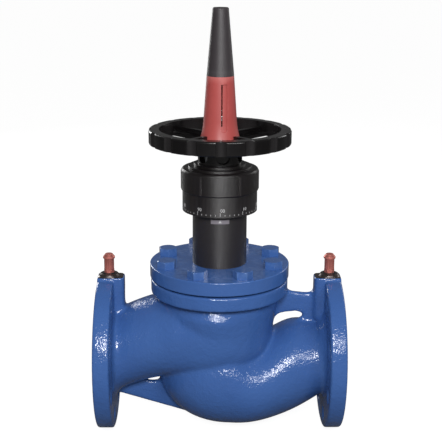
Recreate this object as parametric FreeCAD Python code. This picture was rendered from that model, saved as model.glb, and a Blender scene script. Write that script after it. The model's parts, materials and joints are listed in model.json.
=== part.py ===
import FreeCAD
import Part
import math
import os
from FreeCAD import Vector

# A flanged balancing valve of size 100, in millimetres.
# It is modelled about its own centre: X runs along the pipe, Z is the stem axis, pointing up, and the
# pipe axis and the stem axis cross at zero. Heights are measured from the pipe axis. The last step moves
# every piece so that the origin is the middle of the outlet flange's face.

# Pipe connection
FACE_TO_FACE = 350.0
BORE_R = 50.0
FLANGE_R = 110.0
RIM_THICK = 23.0
RIM_CHAMFER = 1.5
RAISED_FACE_HEIGHT = 3.0
RAISED_FACE_BEVEL = 1.0
RAISED_FACE_INSIDE_BOLTS = 11.0
PIPE_BOLT_EDGE = 20.0
PIPE_BOLT_COUNT = 8
PIPE_BOLT_HOLE_R = 9.5
NECK_R = 59.5
NECK_FILLET = 10.0
NECK_FILLET_SINK = 5.0

# Body casting: round chamber under the bonnet, bowl under the seat, a duct from each to its flange
WALL = 9.0
CHAMBER_R = 77.0
SHOULDER_R = 81.0
SHOULDER_Z = 74.0
SHOULDER_ROUND = 12.0
SHOULDER_SWELL = 1.5
OUTLET_DUCT_BULGE = 1.5
LOBE_FLOOR = -14.0
LOBE_SQUARENESS = 3.3
LOBE_END = 42.0
LOBE_END_INSET = 4.0
LOBE_END_DROP = 8.0
BOWL_X = 14.0
BOWL_Z = -30.0
BOWL_LENGTH = 99.0
BOWL_WIDTH = 82.0
BOWL_DEPTH = 75.0
INLET_DUCT_ROOF = 10.0
INLET_DUCT_OVERRUN = 20.0
DUCT_SWEEP = 2.3
OUTLET_FLOOR_SLOPE = 0.68
INLET_ROOF_SLOPE = 0.95
BRIDGE_BOTTOM = -4.0
BRIDGE_THICK = 10.0
WEB_THICK = 10.0
WEB_ROOT = 4.0
WEB_SAG = 3.4
WINDOW_ROUND = 3.0
WINDOW_UNDER_FLANGE = 32.4
WINDOW_HEIGHT = 34.0
WINDOW_SIDE = 22.0
WINDOW_CROWN = 34.0
WINDOW_FROM_FLANGE = 25.0
CORE_HOLE_R = 5.5
CORE_HOLE_FROM_BOWL = 11.0
CORE_HOLE_DROP = 11.0
BODY_FLANGE_R = 96.5
BODY_FLANGE_BOTTOM = 92.4
BODY_FLANGE_THICK = 20.0
BODY_OPENING_R = 64.0

# Bosses that carry the pressure test points
TEST_BOSS_DEPTH = 15.0
TEST_BOSS_WIDTH = 28.0
TEST_BOSS_PROUD = 3.5
TEST_PAD_R = 13.4
TEST_PAD_HEIGHT = 4.0
TEST_PAD_ROOT = 3.0
TEST_POINT_INSET = 19.5
TEST_TAP_R = 6.5
TEST_TAP_DEPTH = 14.0
TEST_DRILL_R = 2.0

# Bonnet and its screws
GASKET_THICK = 3.0
GASKET_WIDTH = 7.0
BONNET_R = 97.7
BONNET_THICK = 19.2
BONNET_CROWN = 7.0
FLANGE_EDGE_ROUND = 1.5
BONNET_BOLT_CIRCLE_R = 79.5
BONNET_BOLT_COUNT = 8
BOLT_R = 7.9
BOLT_HEAD_FLATS = 24.0
BOLT_HEAD_HEIGHT = 11.0
BOLT_DEPTH = 16.0
BONNET_NECK_R = 31.0
BONNET_NECK_HEIGHT = 24.0
GUIDE_BOSS_R = 20.0
GUIDE_BOSS_DROP = 21.0
SPIGOT_WIDTH = 9.0
SPIGOT_DROP = 7.0
GUIDE_BUSH_WALL = 3.0
GUIDE_BUSH_ABOVE_DISH = 4.0
DISH_SLOPE = 6.0

# Closing trim
SEAT_BORE_R = 44.0
SEAT_FLANGE_R = 55.0
SEAT_LIP = 6.0
SEAT_LIP_BEVEL = 3.0
TRAVEL = 40.0
SEAT_GAP = 0.3
PLUG_R = 51.0
PLUG_THICK = 14.0
PLUG_BEVEL = 4.0
PLUG_HUB_FLARE = 6.0
PLUG_HUB_R = 18.0
PLUG_HUB_HEIGHT = 18.0
PLUG_SEAL_WIDTH = 4.5
PLUG_SEAL_THICK = 3.0
PLUG_SEAL_RIM = 1.5
PLUG_RIM_STEP = 0.5
CONE_TOP_R = 43.4
CONE_TIP_R = 17.0
CONE_DEPTH = 34.0
CONE_LAND = 6.0
CONE_BULGE = 5.0
PLUG_NUT_FLATS = 22.0
PLUG_NUT_HEIGHT = 10.0

# Stem and its sealing
STEM_R = 10.0
STEM_FOOT_R = 8.0
STEM_TOP_ABOVE_WHEEL = 27.0
PACKING_R = 16.0
PACKING_RING_HEIGHT = 5.0
PACKING_RING_COUNT = 2
GLAND_DEPTH = 10.0
GLAND_HEX_FLATS = 40.0
GLAND_HEX_HEIGHT = 6.5
GUIDE_PIN_R = 3.0
GUIDE_PIN_HALF_LENGTH = 31.5
GUIDE_PIN_ABOVE_GLAND = 9.0
STOP_SCREW_R = 4.0
STOP_SCREW_LENGTH = 48.0
STOP_SCREW_PROUD = 12.0
STOP_NUT_FLATS = 13.0
STOP_NUT_HEIGHT = 6.0
STOP_SLOT_WIDTH = 1.2
STOP_SLOT_DEPTH = 2.0
PIN_CHAMFER = 0.6

# Fixed sleeve with the pointer plate
SLEEVE_R = 37.8
SLEEVE_LENGTH = 123.4
SLEEVE_BORE_R = 27.5
SLEEVE_SEAT_DEPTH = 39.0
GROOVE_DEPTH = 4.8
PLATE_WIDTH = 25.7
PLATE_HEIGHT = 6.0
PLATE_THICK = 0.8
PLATE_GAP = 6.0
GRUB_SCREW_R = 3.0
GRUB_SCREW_LENGTH = 6.4
GRUB_SCREW_HEIGHT = 12.0
GRUB_SOCKET_R = 1.5
GRUB_SOCKET_DEPTH = 2.5

# Turning nut in the sleeve
WASHER_THICK = 2.5
NUT_FLANGE_R = 29.5
NUT_FLANGE_THICK = 10.0
NUT_BODY_R = 20.0
NUT_SHANK_R = 17.0
NUT_END_R = 14.0
NUT_END_LENGTH = 17.0
BEARING_RING_HEIGHT = 11.7
SPANNER_HOLE_R = 2.5
SPANNER_HOLE_DEPTH = 5.0
KEY_WIDTH = 6.0
KEY_LENGTH = 18.0
KEY_ABOVE_COLLAR = 2.0

# Drum with the numbers
THIMBLE_TOP_GAP = 4.5
THIMBLE_TOP_THICK = 8.0
THIMBLE_R = 53.3
THIMBLE_SKIRT_R = 51.8
THIMBLE_WALL = 4.0
THIMBLE_OVERLAP = 47.0
THIMBLE_BAND = 30.0
THIMBLE_EDGE_ROUND = 4.0
THIMBLE_CEILING_BEVEL = 2.0
THIMBLE_BAND_STEP = 1.5
THIMBLE_RIB_COUNT = 6
THIMBLE_RIB_WIDTH = 2.6
THIMBLE_RIB_PROUD = 0.7
COLLAR_R = 44.0
COLLAR_HEIGHT = 3.0
COLLAR_STEP_R = 36.0
COLLAR_STEP_HEIGHT = 3.5
COLLAR_ROUND = 1.0
DRUM_SCREW_R = 2.5
DRUM_SCREW_HEAD_R = 4.2
DRUM_SCREW_HEAD_HEIGHT = 3.0
DRUM_SCREW_CIRCLE_R = 25.0
DRUM_SCREW_LENGTH = 12.0
DRUM_SCREW_COUNT = 4

# Handwheel
WHEEL_R = 97.5
WHEEL_RIM_WIDTH = 14.0
WHEEL_RIM_HEIGHT = 20.0
WHEEL_RIM_ROUND = 2.5
WHEEL_LOBE_COUNT = 16
WHEEL_NOTCH_R = 10.0
WHEEL_NOTCH_DEPTH = 3.5
WHEEL_WEB_THICK = 5.0
WHEEL_SPOKE_COUNT = 4
WHEEL_SPOKE_WIDTH = 20.0
WHEEL_RIB_WIDTH = 6.0
WHEEL_RIB_HEIGHT = 8.0
WHEEL_NECK_R = 30.5
WHEEL_NECK_HEIGHT = 27.0
WHEEL_POCKET_COUNT = 6
WHEEL_POCKET_WIDTH = 18.0
WHEEL_POCKET_DEPTH = 5.0
WHEEL_POCKET_SILL = 2.5
WHEEL_POCKET_ROOF = 2.0
WHEEL_POCKET_TURN = 8.0
WHEEL_HUB_R = 34.0
COVER_SEAT_HEIGHT = 3.5
COVER_SEAT_WALL = 2.5
WHEEL_WASHER_THICK = 2.0
WHEEL_WASHER_BORDER = 2.0
WHEEL_NUT_FLATS = 34.0
WHEEL_NUT_HEIGHT = 8.0

# Stem cover and its cap
COVER_FOOT_R = 26.7
COVER_WAIST_R = 22.6
COVER_WAIST_HEIGHT = 29.0
COVER_FLARE_SHARE = 0.32
COVER_TOP_R = 18.6
COVER_HEIGHT = 87.0
COVER_WALL = 2.8
COVER_FOOT_ROUND = 1.5
CHANNEL_WIDTH = 8.0
CHANNEL_DEPTH = 1.6
CHANNEL_BOTTOM = 13.0
CHANNEL_TOP = 77.0
CHANNEL_OFFSET = 5.0
SLIT_WIDTH = 1.8
SLIT_BOTTOM = 21.0
CAP_LENGTH = 90.0
CAP_TOP_R = 10.8
CAP_WALL = 2.5
CAP_SPIGOT_LENGTH = 9.0
CAP_SPIGOT_WALL = 2.0
CAP_TOP_CHAMFER = 1.0

# Pressure test points
TEST_WASHER_THICK = 1.0
TEST_WASHER_BORDER = 2.0
TEST_BASE_FLATS = 12.6
TEST_BASE_HEIGHT = 5.6
TEST_NIPPLE_R = 5.2
TEST_NIPPLE_HEIGHT = 11.0
TEST_CORE_R = 2.4
TEST_CORE_DEPTH = 8.0
TEST_CORE_DROP = 2.0
TEST_THREAD_SHORT = 2.0
TEST_CAP_R = 7.0
TEST_CAP_HEIGHT = 14.0
TEST_CAP_HEAD_R = 8.4
TEST_CAP_HEAD_HEIGHT = 3.2
TEST_CAP_DOME = 4.0
TEST_CAP_DOME_SHARE = 0.62
TEST_CAP_FLUTES = 12
TEST_CAP_FLUTE_R = 0.9

# Clearances, small edges, and how far a cut or a joined piece runs past the face it crosses
CUT_PAST = 1.0
JOIN_PAST = 1.0
EDGE = 1.0
HEX_EDGE_SLOPE = 0.5
THREAD_GAP = 0.3
PRESSED = 0.01
SEAL_PLAY = 0.02
FIT = 0.05
RUNNING_GAP = 0.1
SKIRT_GAP = 0.5
BOLT_CLEARANCE = 0.85

# Heights and places that follow from the sizes above
HALF_LENGTH = FACE_TO_FACE / 2
LOBE_ROOF = BODY_FLANGE_BOTTOM + JOIN_PAST
PIPE_BOLT_CIRCLE_R = FLANGE_R - PIPE_BOLT_EDGE
RAISED_FACE_R = PIPE_BOLT_CIRCLE_R - RAISED_FACE_INSIDE_BOLTS
TEST_BOSS_TOP = FLANGE_R + TEST_BOSS_PROUD
RIM_FACE_X = HALF_LENGTH - RAISED_FACE_HEIGHT
RIM_BACK_X = RIM_FACE_X - RIM_THICK
BRIDGE_TOP = BRIDGE_BOTTOM + BRIDGE_THICK
BODY_TOP = BODY_FLANGE_BOTTOM + BODY_FLANGE_THICK
BONNET_BOTTOM = BODY_TOP + GASKET_THICK
BONNET_TOP = BONNET_BOTTOM + BONNET_THICK
PACKING_FLOOR = BONNET_TOP + BONNET_NECK_HEIGHT - PACKING_RING_COUNT * PACKING_RING_HEIGHT - GLAND_DEPTH
GLAND_SEAT = BONNET_TOP + BONNET_NECK_HEIGHT
GLAND_TOP = GLAND_SEAT + GLAND_HEX_HEIGHT
SLEEVE_TOP = BONNET_TOP + SLEEVE_LENGTH
SLEEVE_SEAT = SLEEVE_TOP - SLEEVE_SEAT_DEPTH
NUT_BOTTOM = SLEEVE_SEAT + WASHER_THICK + RUNNING_GAP
NUT_FLANGE_TOP = NUT_BOTTOM + NUT_FLANGE_THICK
UPPER_WASHER_BOTTOM = NUT_FLANGE_TOP + RUNNING_GAP
BEARING_RING_BOTTOM = UPPER_WASHER_BOTTOM + WASHER_THICK
THIMBLE_BOTTOM = SLEEVE_TOP - THIMBLE_OVERLAP
THIMBLE_CEILING = SLEEVE_TOP + THIMBLE_TOP_GAP
THIMBLE_TOP = THIMBLE_CEILING + THIMBLE_TOP_THICK
COLLAR_TOP = THIMBLE_TOP + COLLAR_HEIGHT + COLLAR_STEP_HEIGHT
WHEEL_WEB_BOTTOM = COLLAR_TOP + WHEEL_NECK_HEIGHT
WHEEL_WEB_TOP = WHEEL_WEB_BOTTOM + WHEEL_WEB_THICK
WHEEL_RIM_TOP = WHEEL_WEB_BOTTOM + WHEEL_RIM_HEIGHT
STEM_TOP = WHEEL_WEB_TOP + STEM_TOP_ABOVE_WHEEL
COVER_TOP = WHEEL_WEB_TOP + COVER_HEIGHT
SEAT_FACE = BRIDGE_TOP + SEAT_LIP
PLUG_BOTTOM = SEAT_FACE + SEAT_GAP
STEM_SHOULDER = PLUG_BOTTOM + PLUG_THICK + PLUG_HUB_HEIGHT
CONE_BOTTOM = PLUG_BOTTOM - CONE_DEPTH
PIN_Z = GLAND_TOP + GUIDE_PIN_ABOVE_GLAND
TEST_POINT_X = HALF_LENGTH - TEST_POINT_INSET
TEST_PAD_TOP = TEST_BOSS_TOP + TEST_PAD_HEIGHT
UP = Vector(0, 0, 1)
ALONG_PIPE = Vector(1, 0, 0)
FRONT_ANGLE = -90.0
SPOKE_ANGLE = 45.0
SECTION_POINTS = 24


def disc(radius, bottom, top, x=0.0, y=0.0):
    """Upright cylinder between two heights."""
    return Part.makeCylinder(radius, top - bottom, Vector(x, y, bottom), UP)


def tube(inner, outer, bottom, top):
    """Ring about the stem axis."""
    return disc(outer, bottom, top).cut(disc(inner, bottom, top))


def turned(points):
    """Solid turned about the stem axis from a closed outline of (radius, height) points."""
    corners = [Vector(r, 0, z) for r, z in points]
    outline = Part.makePolygon(corners + corners[:1])
    return Part.Face(outline).revolve(Vector(0, 0, 0), UP, 360)


def hexagon(across_flats, bottom, top, x=0.0, y=0.0, turn=0.0):
    """Upright hexagon bar, with its first corner at the angle of turn."""
    reach = across_flats / math.sqrt(3)
    corners = []
    for side in range(6):
        angle = math.radians(turn + 60 * side)
        corners.append(Vector(x + reach * math.cos(angle), y + reach * math.sin(angle), bottom))
    return Part.Face(Part.makePolygon(corners + corners[:1])).extrude(Vector(0, 0, top - bottom))


def block(x0, x1, y0, y1, z0, z1):
    """Box between two corners."""
    return Part.makeBox(x1 - x0, y1 - y0, z1 - z0, Vector(x0, y0, z0))


def around(shape, count, first=0.0):
    """Copies of a shape, turned evenly about the stem axis from a first angle in degrees."""
    copies = []
    for number in range(count):
        copy = shape.copy()
        copy.rotate(Vector(0, 0, 0), UP, first + 360.0 * number / count)
        copies.append(copy)
    return copies


def circle_edges(shape, radius, height):
    """The shape's full circles of one radius at one height about the stem axis."""
    found = []
    for edge in shape.Edges:
        if not isinstance(edge.Curve, Part.Circle):
            continue
        middle = edge.Curve.Center
        if abs(edge.Curve.Radius - radius) < 0.01 and abs(middle.z - height) < 0.01:
            if abs(middle.x) < 0.01 and abs(middle.y) < 0.01:
                found.append(edge)
    return found


def chamfered_hexagon(across_flats, bottom, top, x=0.0, y=0.0, turn=0.0):
    """Hexagon head whose upper corners are turned off by a cone."""
    head = hexagon(across_flats, bottom, top, x, y, turn)
    height = top - bottom
    wide = across_flats / 2 + height / HEX_EDGE_SLOPE
    cone = Part.makeCone(wide, across_flats / 2, height, Vector(x, y, bottom), UP)
    return head.common(cone)


# Body casting


def oval(x, low, high, half_width, squareness):
    """Section across the pipe: an ellipse above its middle, and squarer below it if squareness is over 2."""
    points = []
    for step in range(SECTION_POINTS):
        across = math.cos(2 * math.pi * step / SECTION_POINTS)
        upward = math.sin(2 * math.pi * step / SECTION_POINTS)
        power = 2 / squareness if upward < 0 else 1.0
        y = half_width * math.copysign(abs(across) ** power, across)
        z = (low + high) / 2 + (high - low) / 2 * math.copysign(abs(upward) ** power, upward)
        points.append(Vector(x, y, z))
    curve = Part.BSplineCurve()
    curve.interpolate(Points=points, PeriodicFlag=True)
    return Part.Wire(curve.toShape())


def duct_ovals(port_x, end_x, port_r, width, floor, roof, slope, squareness):
    """Sections of a cast duct, from a round port to an oval in the body. The side that bends away from
    the pipe axis eases off towards the body, the other side is nearly straight, and the width swells."""
    sections = [oval(port_x, -port_r, port_r, port_r, 2.0)]
    for share in (0.25, 0.5, 0.75, 1.0):
        eased = 1 - (1 - share) ** DUCT_SWEEP
        falling = floor < -port_r
        sloped = share ** slope
        low = -port_r + (floor + port_r) * (eased if falling else sloped)
        high = port_r + (roof - port_r) * (sloped if falling else eased)
        swell = share * share * (3 - 2 * share)
        half_width = port_r + (width - port_r) * swell
        x = port_x + (end_x - port_x) * share
        sections.append(oval(x, low, high, half_width, 2.0 + (squareness - 2.0) * swell ** 3))
    return sections


def outlet_duct(wall):
    """Duct from the outlet that swells to the chamber's width over the stem axis and closes past it,
    inside the chamber; wall takes its surface inwards."""
    width = CHAMBER_R + OUTLET_DUCT_BULGE - wall
    floor = LOBE_FLOOR + wall
    roof = LOBE_ROOF - wall
    sections = duct_ovals(-RIM_BACK_X, 0.0, NECK_R - wall, width, floor, roof,
                          OUTLET_FLOOR_SLOPE, LOBE_SQUARENESS)
    inside = math.sqrt((CHAMBER_R - wall) ** 2 - LOBE_END ** 2) - LOBE_END_INSET
    sections.append(oval(LOBE_END, floor + LOBE_END_DROP, roof - LOBE_END_DROP, inside, LOBE_SQUARENESS))
    return Part.makeLoft(sections, True, False)


def bowl_oval(wall, behind):
    """Section of the bowl at a distance behind its middle, as seen from the inlet."""
    share = math.sqrt(1 - (behind / (BOWL_LENGTH - wall)) ** 2)
    half_height = (BOWL_DEPTH - wall) * share
    half_width = (BOWL_WIDTH - wall) * share
    return oval(BOWL_X - behind, BOWL_Z - half_height, BOWL_Z + half_height, half_width, 2.0)


def inlet_duct(wall):
    """Duct from the inlet that runs into the bowl under the seat."""
    floor = BOWL_Z - BOWL_DEPTH + wall
    width = BOWL_WIDTH - wall
    sections = duct_ovals(RIM_BACK_X, BOWL_X, NECK_R - wall, width, floor, INLET_DUCT_ROOF - wall,
                          INLET_ROOF_SLOPE, 2.0)
    sections[-1] = bowl_oval(wall, 0.0)
    sections.append(bowl_oval(wall + JOIN_PAST, INLET_DUCT_OVERRUN))
    return Part.makeLoft(sections, True, False)


def bowl(wall):
    """Outlet half of the egg-shaped bowl under the seat; the inlet duct forms the other half."""
    ball = Part.makeSphere(1.0)
    stretch = FreeCAD.Matrix()
    stretch.scale(Vector(BOWL_LENGTH - wall, BOWL_WIDTH - wall, BOWL_DEPTH - wall))
    stretch.move(Vector(BOWL_X, 0, BOWL_Z))
    egg = ball.transformGeometry(stretch)
    wide = 2 * BOWL_WIDTH
    return egg.common(block(BOWL_X - 2 * BOWL_LENGTH, BOWL_X + JOIN_PAST / 2, -wide, wide, -wide, wide))


def chamber():
    """Round chamber, rounded under like the outlet duct, with a rounded shoulder at the body flange."""
    middle = (LOBE_FLOOR + LOBE_ROOF) / 2
    under = []
    power = 2 / LOBE_SQUARENESS
    steps = SECTION_POINTS // 4
    for step in range(steps + 1):
        angle = math.pi / 2 * step / steps
        r = CHAMBER_R * math.sin(angle) ** power
        z = middle - (middle - LOBE_FLOOR) * abs(math.cos(angle)) ** power
        under.append(Vector(r, 0, z))
    curve = Part.BSplineCurve()
    curve.interpolate(Points=under, InitialTangent=ALONG_PIPE, FinalTangent=UP)
    shoulder = Vector(SHOULDER_R, 0, SHOULDER_Z)
    bend = Vector(SHOULDER_R - SHOULDER_SWELL, 0, (SHOULDER_Z + LOBE_ROOF) / 2 + JOIN_PAST)
    end = Vector(SHOULDER_R - SHOULDER_ROUND / 2, 0, LOBE_ROOF)
    top = Vector(0, 0, LOBE_ROOF)
    edges = [
        curve.toShape(),
        Part.makeLine(under[-1], shoulder),
        Part.Arc(shoulder, bend, end).toShape(),
        Part.makeLine(end, top),
        Part.makeLine(top, under[0]),
    ]
    return Part.Face(Part.Wire(edges)).revolve(Vector(0, 0, 0), UP, 360)


def pipe_flange(side):
    """Pipe flange with its raised face and the cast fillet behind it; side is -1 at the outlet."""
    back = RIM_BACK_X
    start = Vector(back - NECK_FILLET, 0, NECK_R - NECK_FILLET_SINK)
    middle = Vector(back - NECK_FILLET * 0.3, 0, NECK_R + NECK_FILLET * 0.2)
    end = Vector(back, 0, NECK_R + NECK_FILLET)
    corners = [
        end,
        Vector(back, 0, FLANGE_R - RIM_CHAMFER),
        Vector(back + RIM_CHAMFER, 0, FLANGE_R),
        Vector(RIM_FACE_X - RIM_CHAMFER, 0, FLANGE_R),
        Vector(RIM_FACE_X, 0, FLANGE_R - RIM_CHAMFER),
        Vector(RIM_FACE_X, 0, RAISED_FACE_R),
        Vector(HALF_LENGTH, 0, RAISED_FACE_R - RAISED_FACE_BEVEL),
        Vector(HALF_LENGTH, 0, 0),
        Vector(back - NECK_FILLET, 0, 0),
        start,
    ]
    edges = [Part.makeLine(a, b) for a, b in zip(corners, corners[1:])]
    edges.append(Part.Arc(start, middle, end).toShape())
    flange = Part.Face(Part.Wire(edges)).revolve(Vector(0, 0, 0), ALONG_PIPE, 360)
    if side < 0:
        flange.rotate(Vector(0, 0, 0), UP, 180)
    return flange


def pipe_bolt_holes(side):
    """Through holes of a pipe flange, four to a half and none on the centre lines."""
    holes = []
    for number in range(PIPE_BOLT_COUNT):
        angle = math.radians((number + 0.5) * 360.0 / PIPE_BOLT_COUNT)
        y = PIPE_BOLT_CIRCLE_R * math.cos(angle)
        z = PIPE_BOLT_CIRCLE_R * math.sin(angle)
        start = Vector(side * (RIM_BACK_X - NECK_FILLET), y, z)
        holes.append(Part.makeCylinder(PIPE_BOLT_HOLE_R, HALF_LENGTH, start, Vector(side, 0, 0)))
    return holes


def test_boss(side):
    """Block on a flange's top with the round pad for a test point."""
    inner = RIM_BACK_X - TEST_BOSS_DEPTH
    half = TEST_BOSS_WIDTH / 2
    near = min(side * inner, side * RIM_FACE_X)
    far = max(side * inner, side * RIM_FACE_X)
    stock = block(near, far, -half, half, NECK_R - WALL, TEST_BOSS_TOP)
    corners = []
    for edge in stock.Edges:
        upright = abs(edge.tangentAt(edge.FirstParameter).z) > 0.99
        if upright and abs(edge.CenterOfMass.x - side * inner) < 0.01:
            corners.append(edge)
    stock = stock.makeFillet(half / 2, corners)
    pad = disc(TEST_PAD_R, TEST_BOSS_TOP - TEST_PAD_ROOT, TEST_PAD_TOP, side * TEST_POINT_X)
    return stock.fuse(pad)


def test_drilling(side):
    """Tapped hole in the pad and the small drilling down to the port."""
    x = side * TEST_POINT_X
    tap_bottom = TEST_PAD_TOP - TEST_TAP_DEPTH
    tap = disc(TEST_TAP_R, tap_bottom, TEST_PAD_TOP + CUT_PAST, x)
    return tap.fuse(disc(TEST_DRILL_R, BORE_R / 2, tap_bottom + CUT_PAST, x))


def web_plate(outline):
    """Upright plate in the middle plane from a closed outline of edges."""
    face = Part.Face(Part.Wire(outline))
    plate = face.extrude(Vector(0, WEB_THICK, 0))
    plate.translate(Vector(0, -WEB_THICK / 2, 0))
    return plate


def line_path(points):
    """Straight edges through (x, z) points in the middle plane."""
    places = [Vector(x, 0, z) for x, z in points]
    return [Part.makeLine(a, b) for a, b in zip(places, places[1:])]


def lower_web():
    """Web from the outlet flange down to the bottom of the bowl, with its small core hole."""
    flange_x = -RIM_BACK_X - WEB_ROOT
    flange_end = (flange_x, -NECK_R - WEB_ROOT)
    bowl_end = (BOWL_X - BOWL_LENGTH / 3, BOWL_Z - BOWL_DEPTH)
    corners = [flange_end, bowl_end, (0.0, BOWL_Z), (flange_x, -NECK_R / 2), flange_end]
    plate = web_plate(line_path(corners))
    hole_x = BOWL_X - BOWL_LENGTH - CORE_HOLE_FROM_BOWL
    hole_z = BOWL_Z - CORE_HOLE_DROP
    slot = [block(hole_x - CORE_HOLE_R, hole_x + CORE_HOLE_R, -WEB_THICK, WEB_THICK,
                  hole_z - CORE_HOLE_R, hole_z + CORE_HOLE_R)]
    for x in (hole_x - CORE_HOLE_R, hole_x + CORE_HOLE_R):
        slot.append(Part.makeCylinder(CORE_HOLE_R, 2 * WEB_THICK, Vector(x, -WEB_THICK, hole_z), Vector(0, 1, 0)))
    return plate.cut(slot)


def upper_web():
    """Web from the body flange across to the inlet flange, with a three-sided window over the duct."""
    top = BODY_FLANGE_BOTTOM + JOIN_PAST
    start = Vector(BODY_FLANGE_R - WEB_ROOT, 0, top)
    end = Vector(RIM_BACK_X + WEB_ROOT, 0, top)
    dip = Vector((start.x + end.x) / 2, 0, top - WEB_SAG - JOIN_PAST)
    root_x = CHAMBER_R - WALL
    outline = [Part.Arc(start, dip, end).toShape()]
    outline += line_path([(end.x, end.z), (end.x, NECK_R / 2), (root_x, INLET_DUCT_ROOF),
                          (root_x, top), (start.x, start.z)])
    plate = web_plate(outline)
    left = CHAMBER_R - WALL / 4
    right = RIM_BACK_X - WINDOW_FROM_FLANGE
    roof = BODY_FLANGE_BOTTOM - WINDOW_UNDER_FLANGE
    foot = roof - WINDOW_HEIGHT
    bevel = roof - foot - WINDOW_SIDE
    window = line_path([(left, foot), (left, foot + WINDOW_SIDE), (left + bevel, roof - WINDOW_ROUND),
                        (left + WINDOW_CROWN, roof), (right, roof - WEB_ROOT), (left, foot)])
    opening = Part.Face(Part.Wire(window)).extrude(Vector(0, 2 * WEB_THICK, 0))
    opening.translate(Vector(0, -WEB_THICK, 0))
    upright = [edge for edge in opening.Edges if abs(edge.tangentAt(edge.FirstParameter).y) > 0.99]
    opening = opening.makeFillet(WINDOW_ROUND, upright)
    return plate.cut(opening)


def valve_body():
    """Whole casting: outer form, then the two passages parted by the bridge that carries the seat."""
    outer = outlet_duct(0.0).fuse([inlet_duct(0.0), bowl(0.0), chamber()])
    flange = disc(BODY_FLANGE_R, BODY_FLANGE_BOTTOM, BODY_TOP)
    rims = circle_edges(flange, BODY_FLANGE_R, BODY_FLANGE_BOTTOM) + circle_edges(flange, BODY_FLANGE_R, BODY_TOP)
    flange = flange.makeFillet(FLANGE_EDGE_ROUND, rims)
    outer = outer.fuse([flange, lower_web(), upper_web()])
    for side in (-1, 1):
        outer = outer.fuse([pipe_flange(side), test_boss(side)])

    inner_wall_r = CHAMBER_R - WALL
    reach = HALF_LENGTH
    wide = BOWL_WIDTH + WALL
    below_seat = block(-inner_wall_r - 2 * WALL, reach, -wide, wide, BOWL_Z - BOWL_DEPTH, BRIDGE_TOP)
    upper = outlet_duct(WALL).cut(below_seat)
    upper = upper.fuse(disc(inner_wall_r, BRIDGE_TOP, BODY_FLANGE_BOTTOM - WALL))
    upper = upper.fuse(disc(BODY_OPENING_R, BODY_FLANGE_BOTTOM - WALL - JOIN_PAST, BODY_TOP + CUT_PAST))
    above_bridge = block(-reach, CHAMBER_R, -wide, wide, BRIDGE_BOTTOM, BODY_FLANGE_BOTTOM)
    lower = bowl(WALL).fuse(inlet_duct(WALL)).cut(above_bridge)
    body = outer.cut([upper, lower])

    cuts = [disc(BORE_R, BRIDGE_BOTTOM - CUT_PAST, BRIDGE_TOP + CUT_PAST)]
    for side in (-1, 1):
        start = Vector(side * (RIM_BACK_X - NECK_FILLET), 0, 0)
        cuts.append(Part.makeCylinder(BORE_R, HALF_LENGTH, start, Vector(side, 0, 0)))
        cuts += pipe_bolt_holes(side)
        cuts.append(test_drilling(side))
    tapped = disc(BOLT_R + FIT, BODY_TOP - BOLT_DEPTH - CUT_PAST, BODY_TOP + CUT_PAST, BONNET_BOLT_CIRCLE_R)
    cuts += around(tapped, BONNET_BOLT_COUNT, 180.0 / BONNET_BOLT_COUNT)
    return body.cut(cuts)


# Bonnet group


def bonnet():
    """Cover with the packing box above and the stem guide below."""
    spigot_r = BODY_OPENING_R - FIT
    neck_top = BONNET_TOP + BONNET_NECK_HEIGHT
    dish_top = BONNET_BOTTOM + BONNET_CROWN
    boss_bottom = BONNET_BOTTOM - GUIDE_BOSS_DROP
    bush_r = STEM_R + FIT + GUIDE_BUSH_WALL
    bush_top = dish_top + GUIDE_BUSH_ABOVE_DISH
    profile = [
        (STEM_R + THREAD_GAP, bush_top),
        (STEM_R + THREAD_GAP, PACKING_FLOOR),
        (PACKING_R, PACKING_FLOOR),
        (PACKING_R, neck_top),
        (BONNET_NECK_R, neck_top),
        (BONNET_NECK_R, BONNET_TOP),
        (BONNET_R, BONNET_TOP),
        (BONNET_R, BONNET_BOTTOM),
        (spigot_r, BONNET_BOTTOM),
        (spigot_r, BONNET_BOTTOM - SPIGOT_DROP),
        (spigot_r - SPIGOT_WIDTH, BONNET_BOTTOM - SPIGOT_DROP),
        (spigot_r - SPIGOT_WIDTH - DISH_SLOPE, dish_top),
        (GUIDE_BOSS_R + DISH_SLOPE, dish_top),
        (GUIDE_BOSS_R, boss_bottom),
        (bush_r, boss_bottom),
        (bush_r, bush_top),
    ]
    cover = turned(profile)
    rims = circle_edges(cover, BONNET_R, BONNET_TOP) + circle_edges(cover, BONNET_R, BONNET_BOTTOM)
    cover = cover.makeFillet(FLANGE_EDGE_ROUND, rims)
    hole = disc(BOLT_R + BOLT_CLEARANCE, BONNET_BOTTOM - CUT_PAST, BONNET_TOP + CUT_PAST, BONNET_BOLT_CIRCLE_R)
    return cover.cut(around(hole, BONNET_BOLT_COUNT, 180.0 / BONNET_BOLT_COUNT))


def bonnet_gasket():
    """Flat ring inside the circle of screws."""
    return tube(BODY_OPENING_R + FIT, BODY_OPENING_R + GASKET_WIDTH, BODY_TOP, BONNET_BOTTOM)


def bonnet_bolts():
    """Hexagon screws through the bonnet into the body flange."""
    screws = []
    for number in range(BONNET_BOLT_COUNT):
        angle = (number + 0.5) * 360.0 / BONNET_BOLT_COUNT
        x = BONNET_BOLT_CIRCLE_R * math.cos(math.radians(angle))
        y = BONNET_BOLT_CIRCLE_R * math.sin(math.radians(angle))
        head = chamfered_hexagon(BOLT_HEAD_FLATS, BONNET_TOP, BONNET_TOP + BOLT_HEAD_HEIGHT, x, y, angle)
        shank = disc(BOLT_R, BODY_TOP - BOLT_DEPTH, BONNET_TOP + JOIN_PAST, x, y)
        screws.append(head.fuse(shank).removeSplitter())
    return Part.makeCompound(screws)


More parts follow.
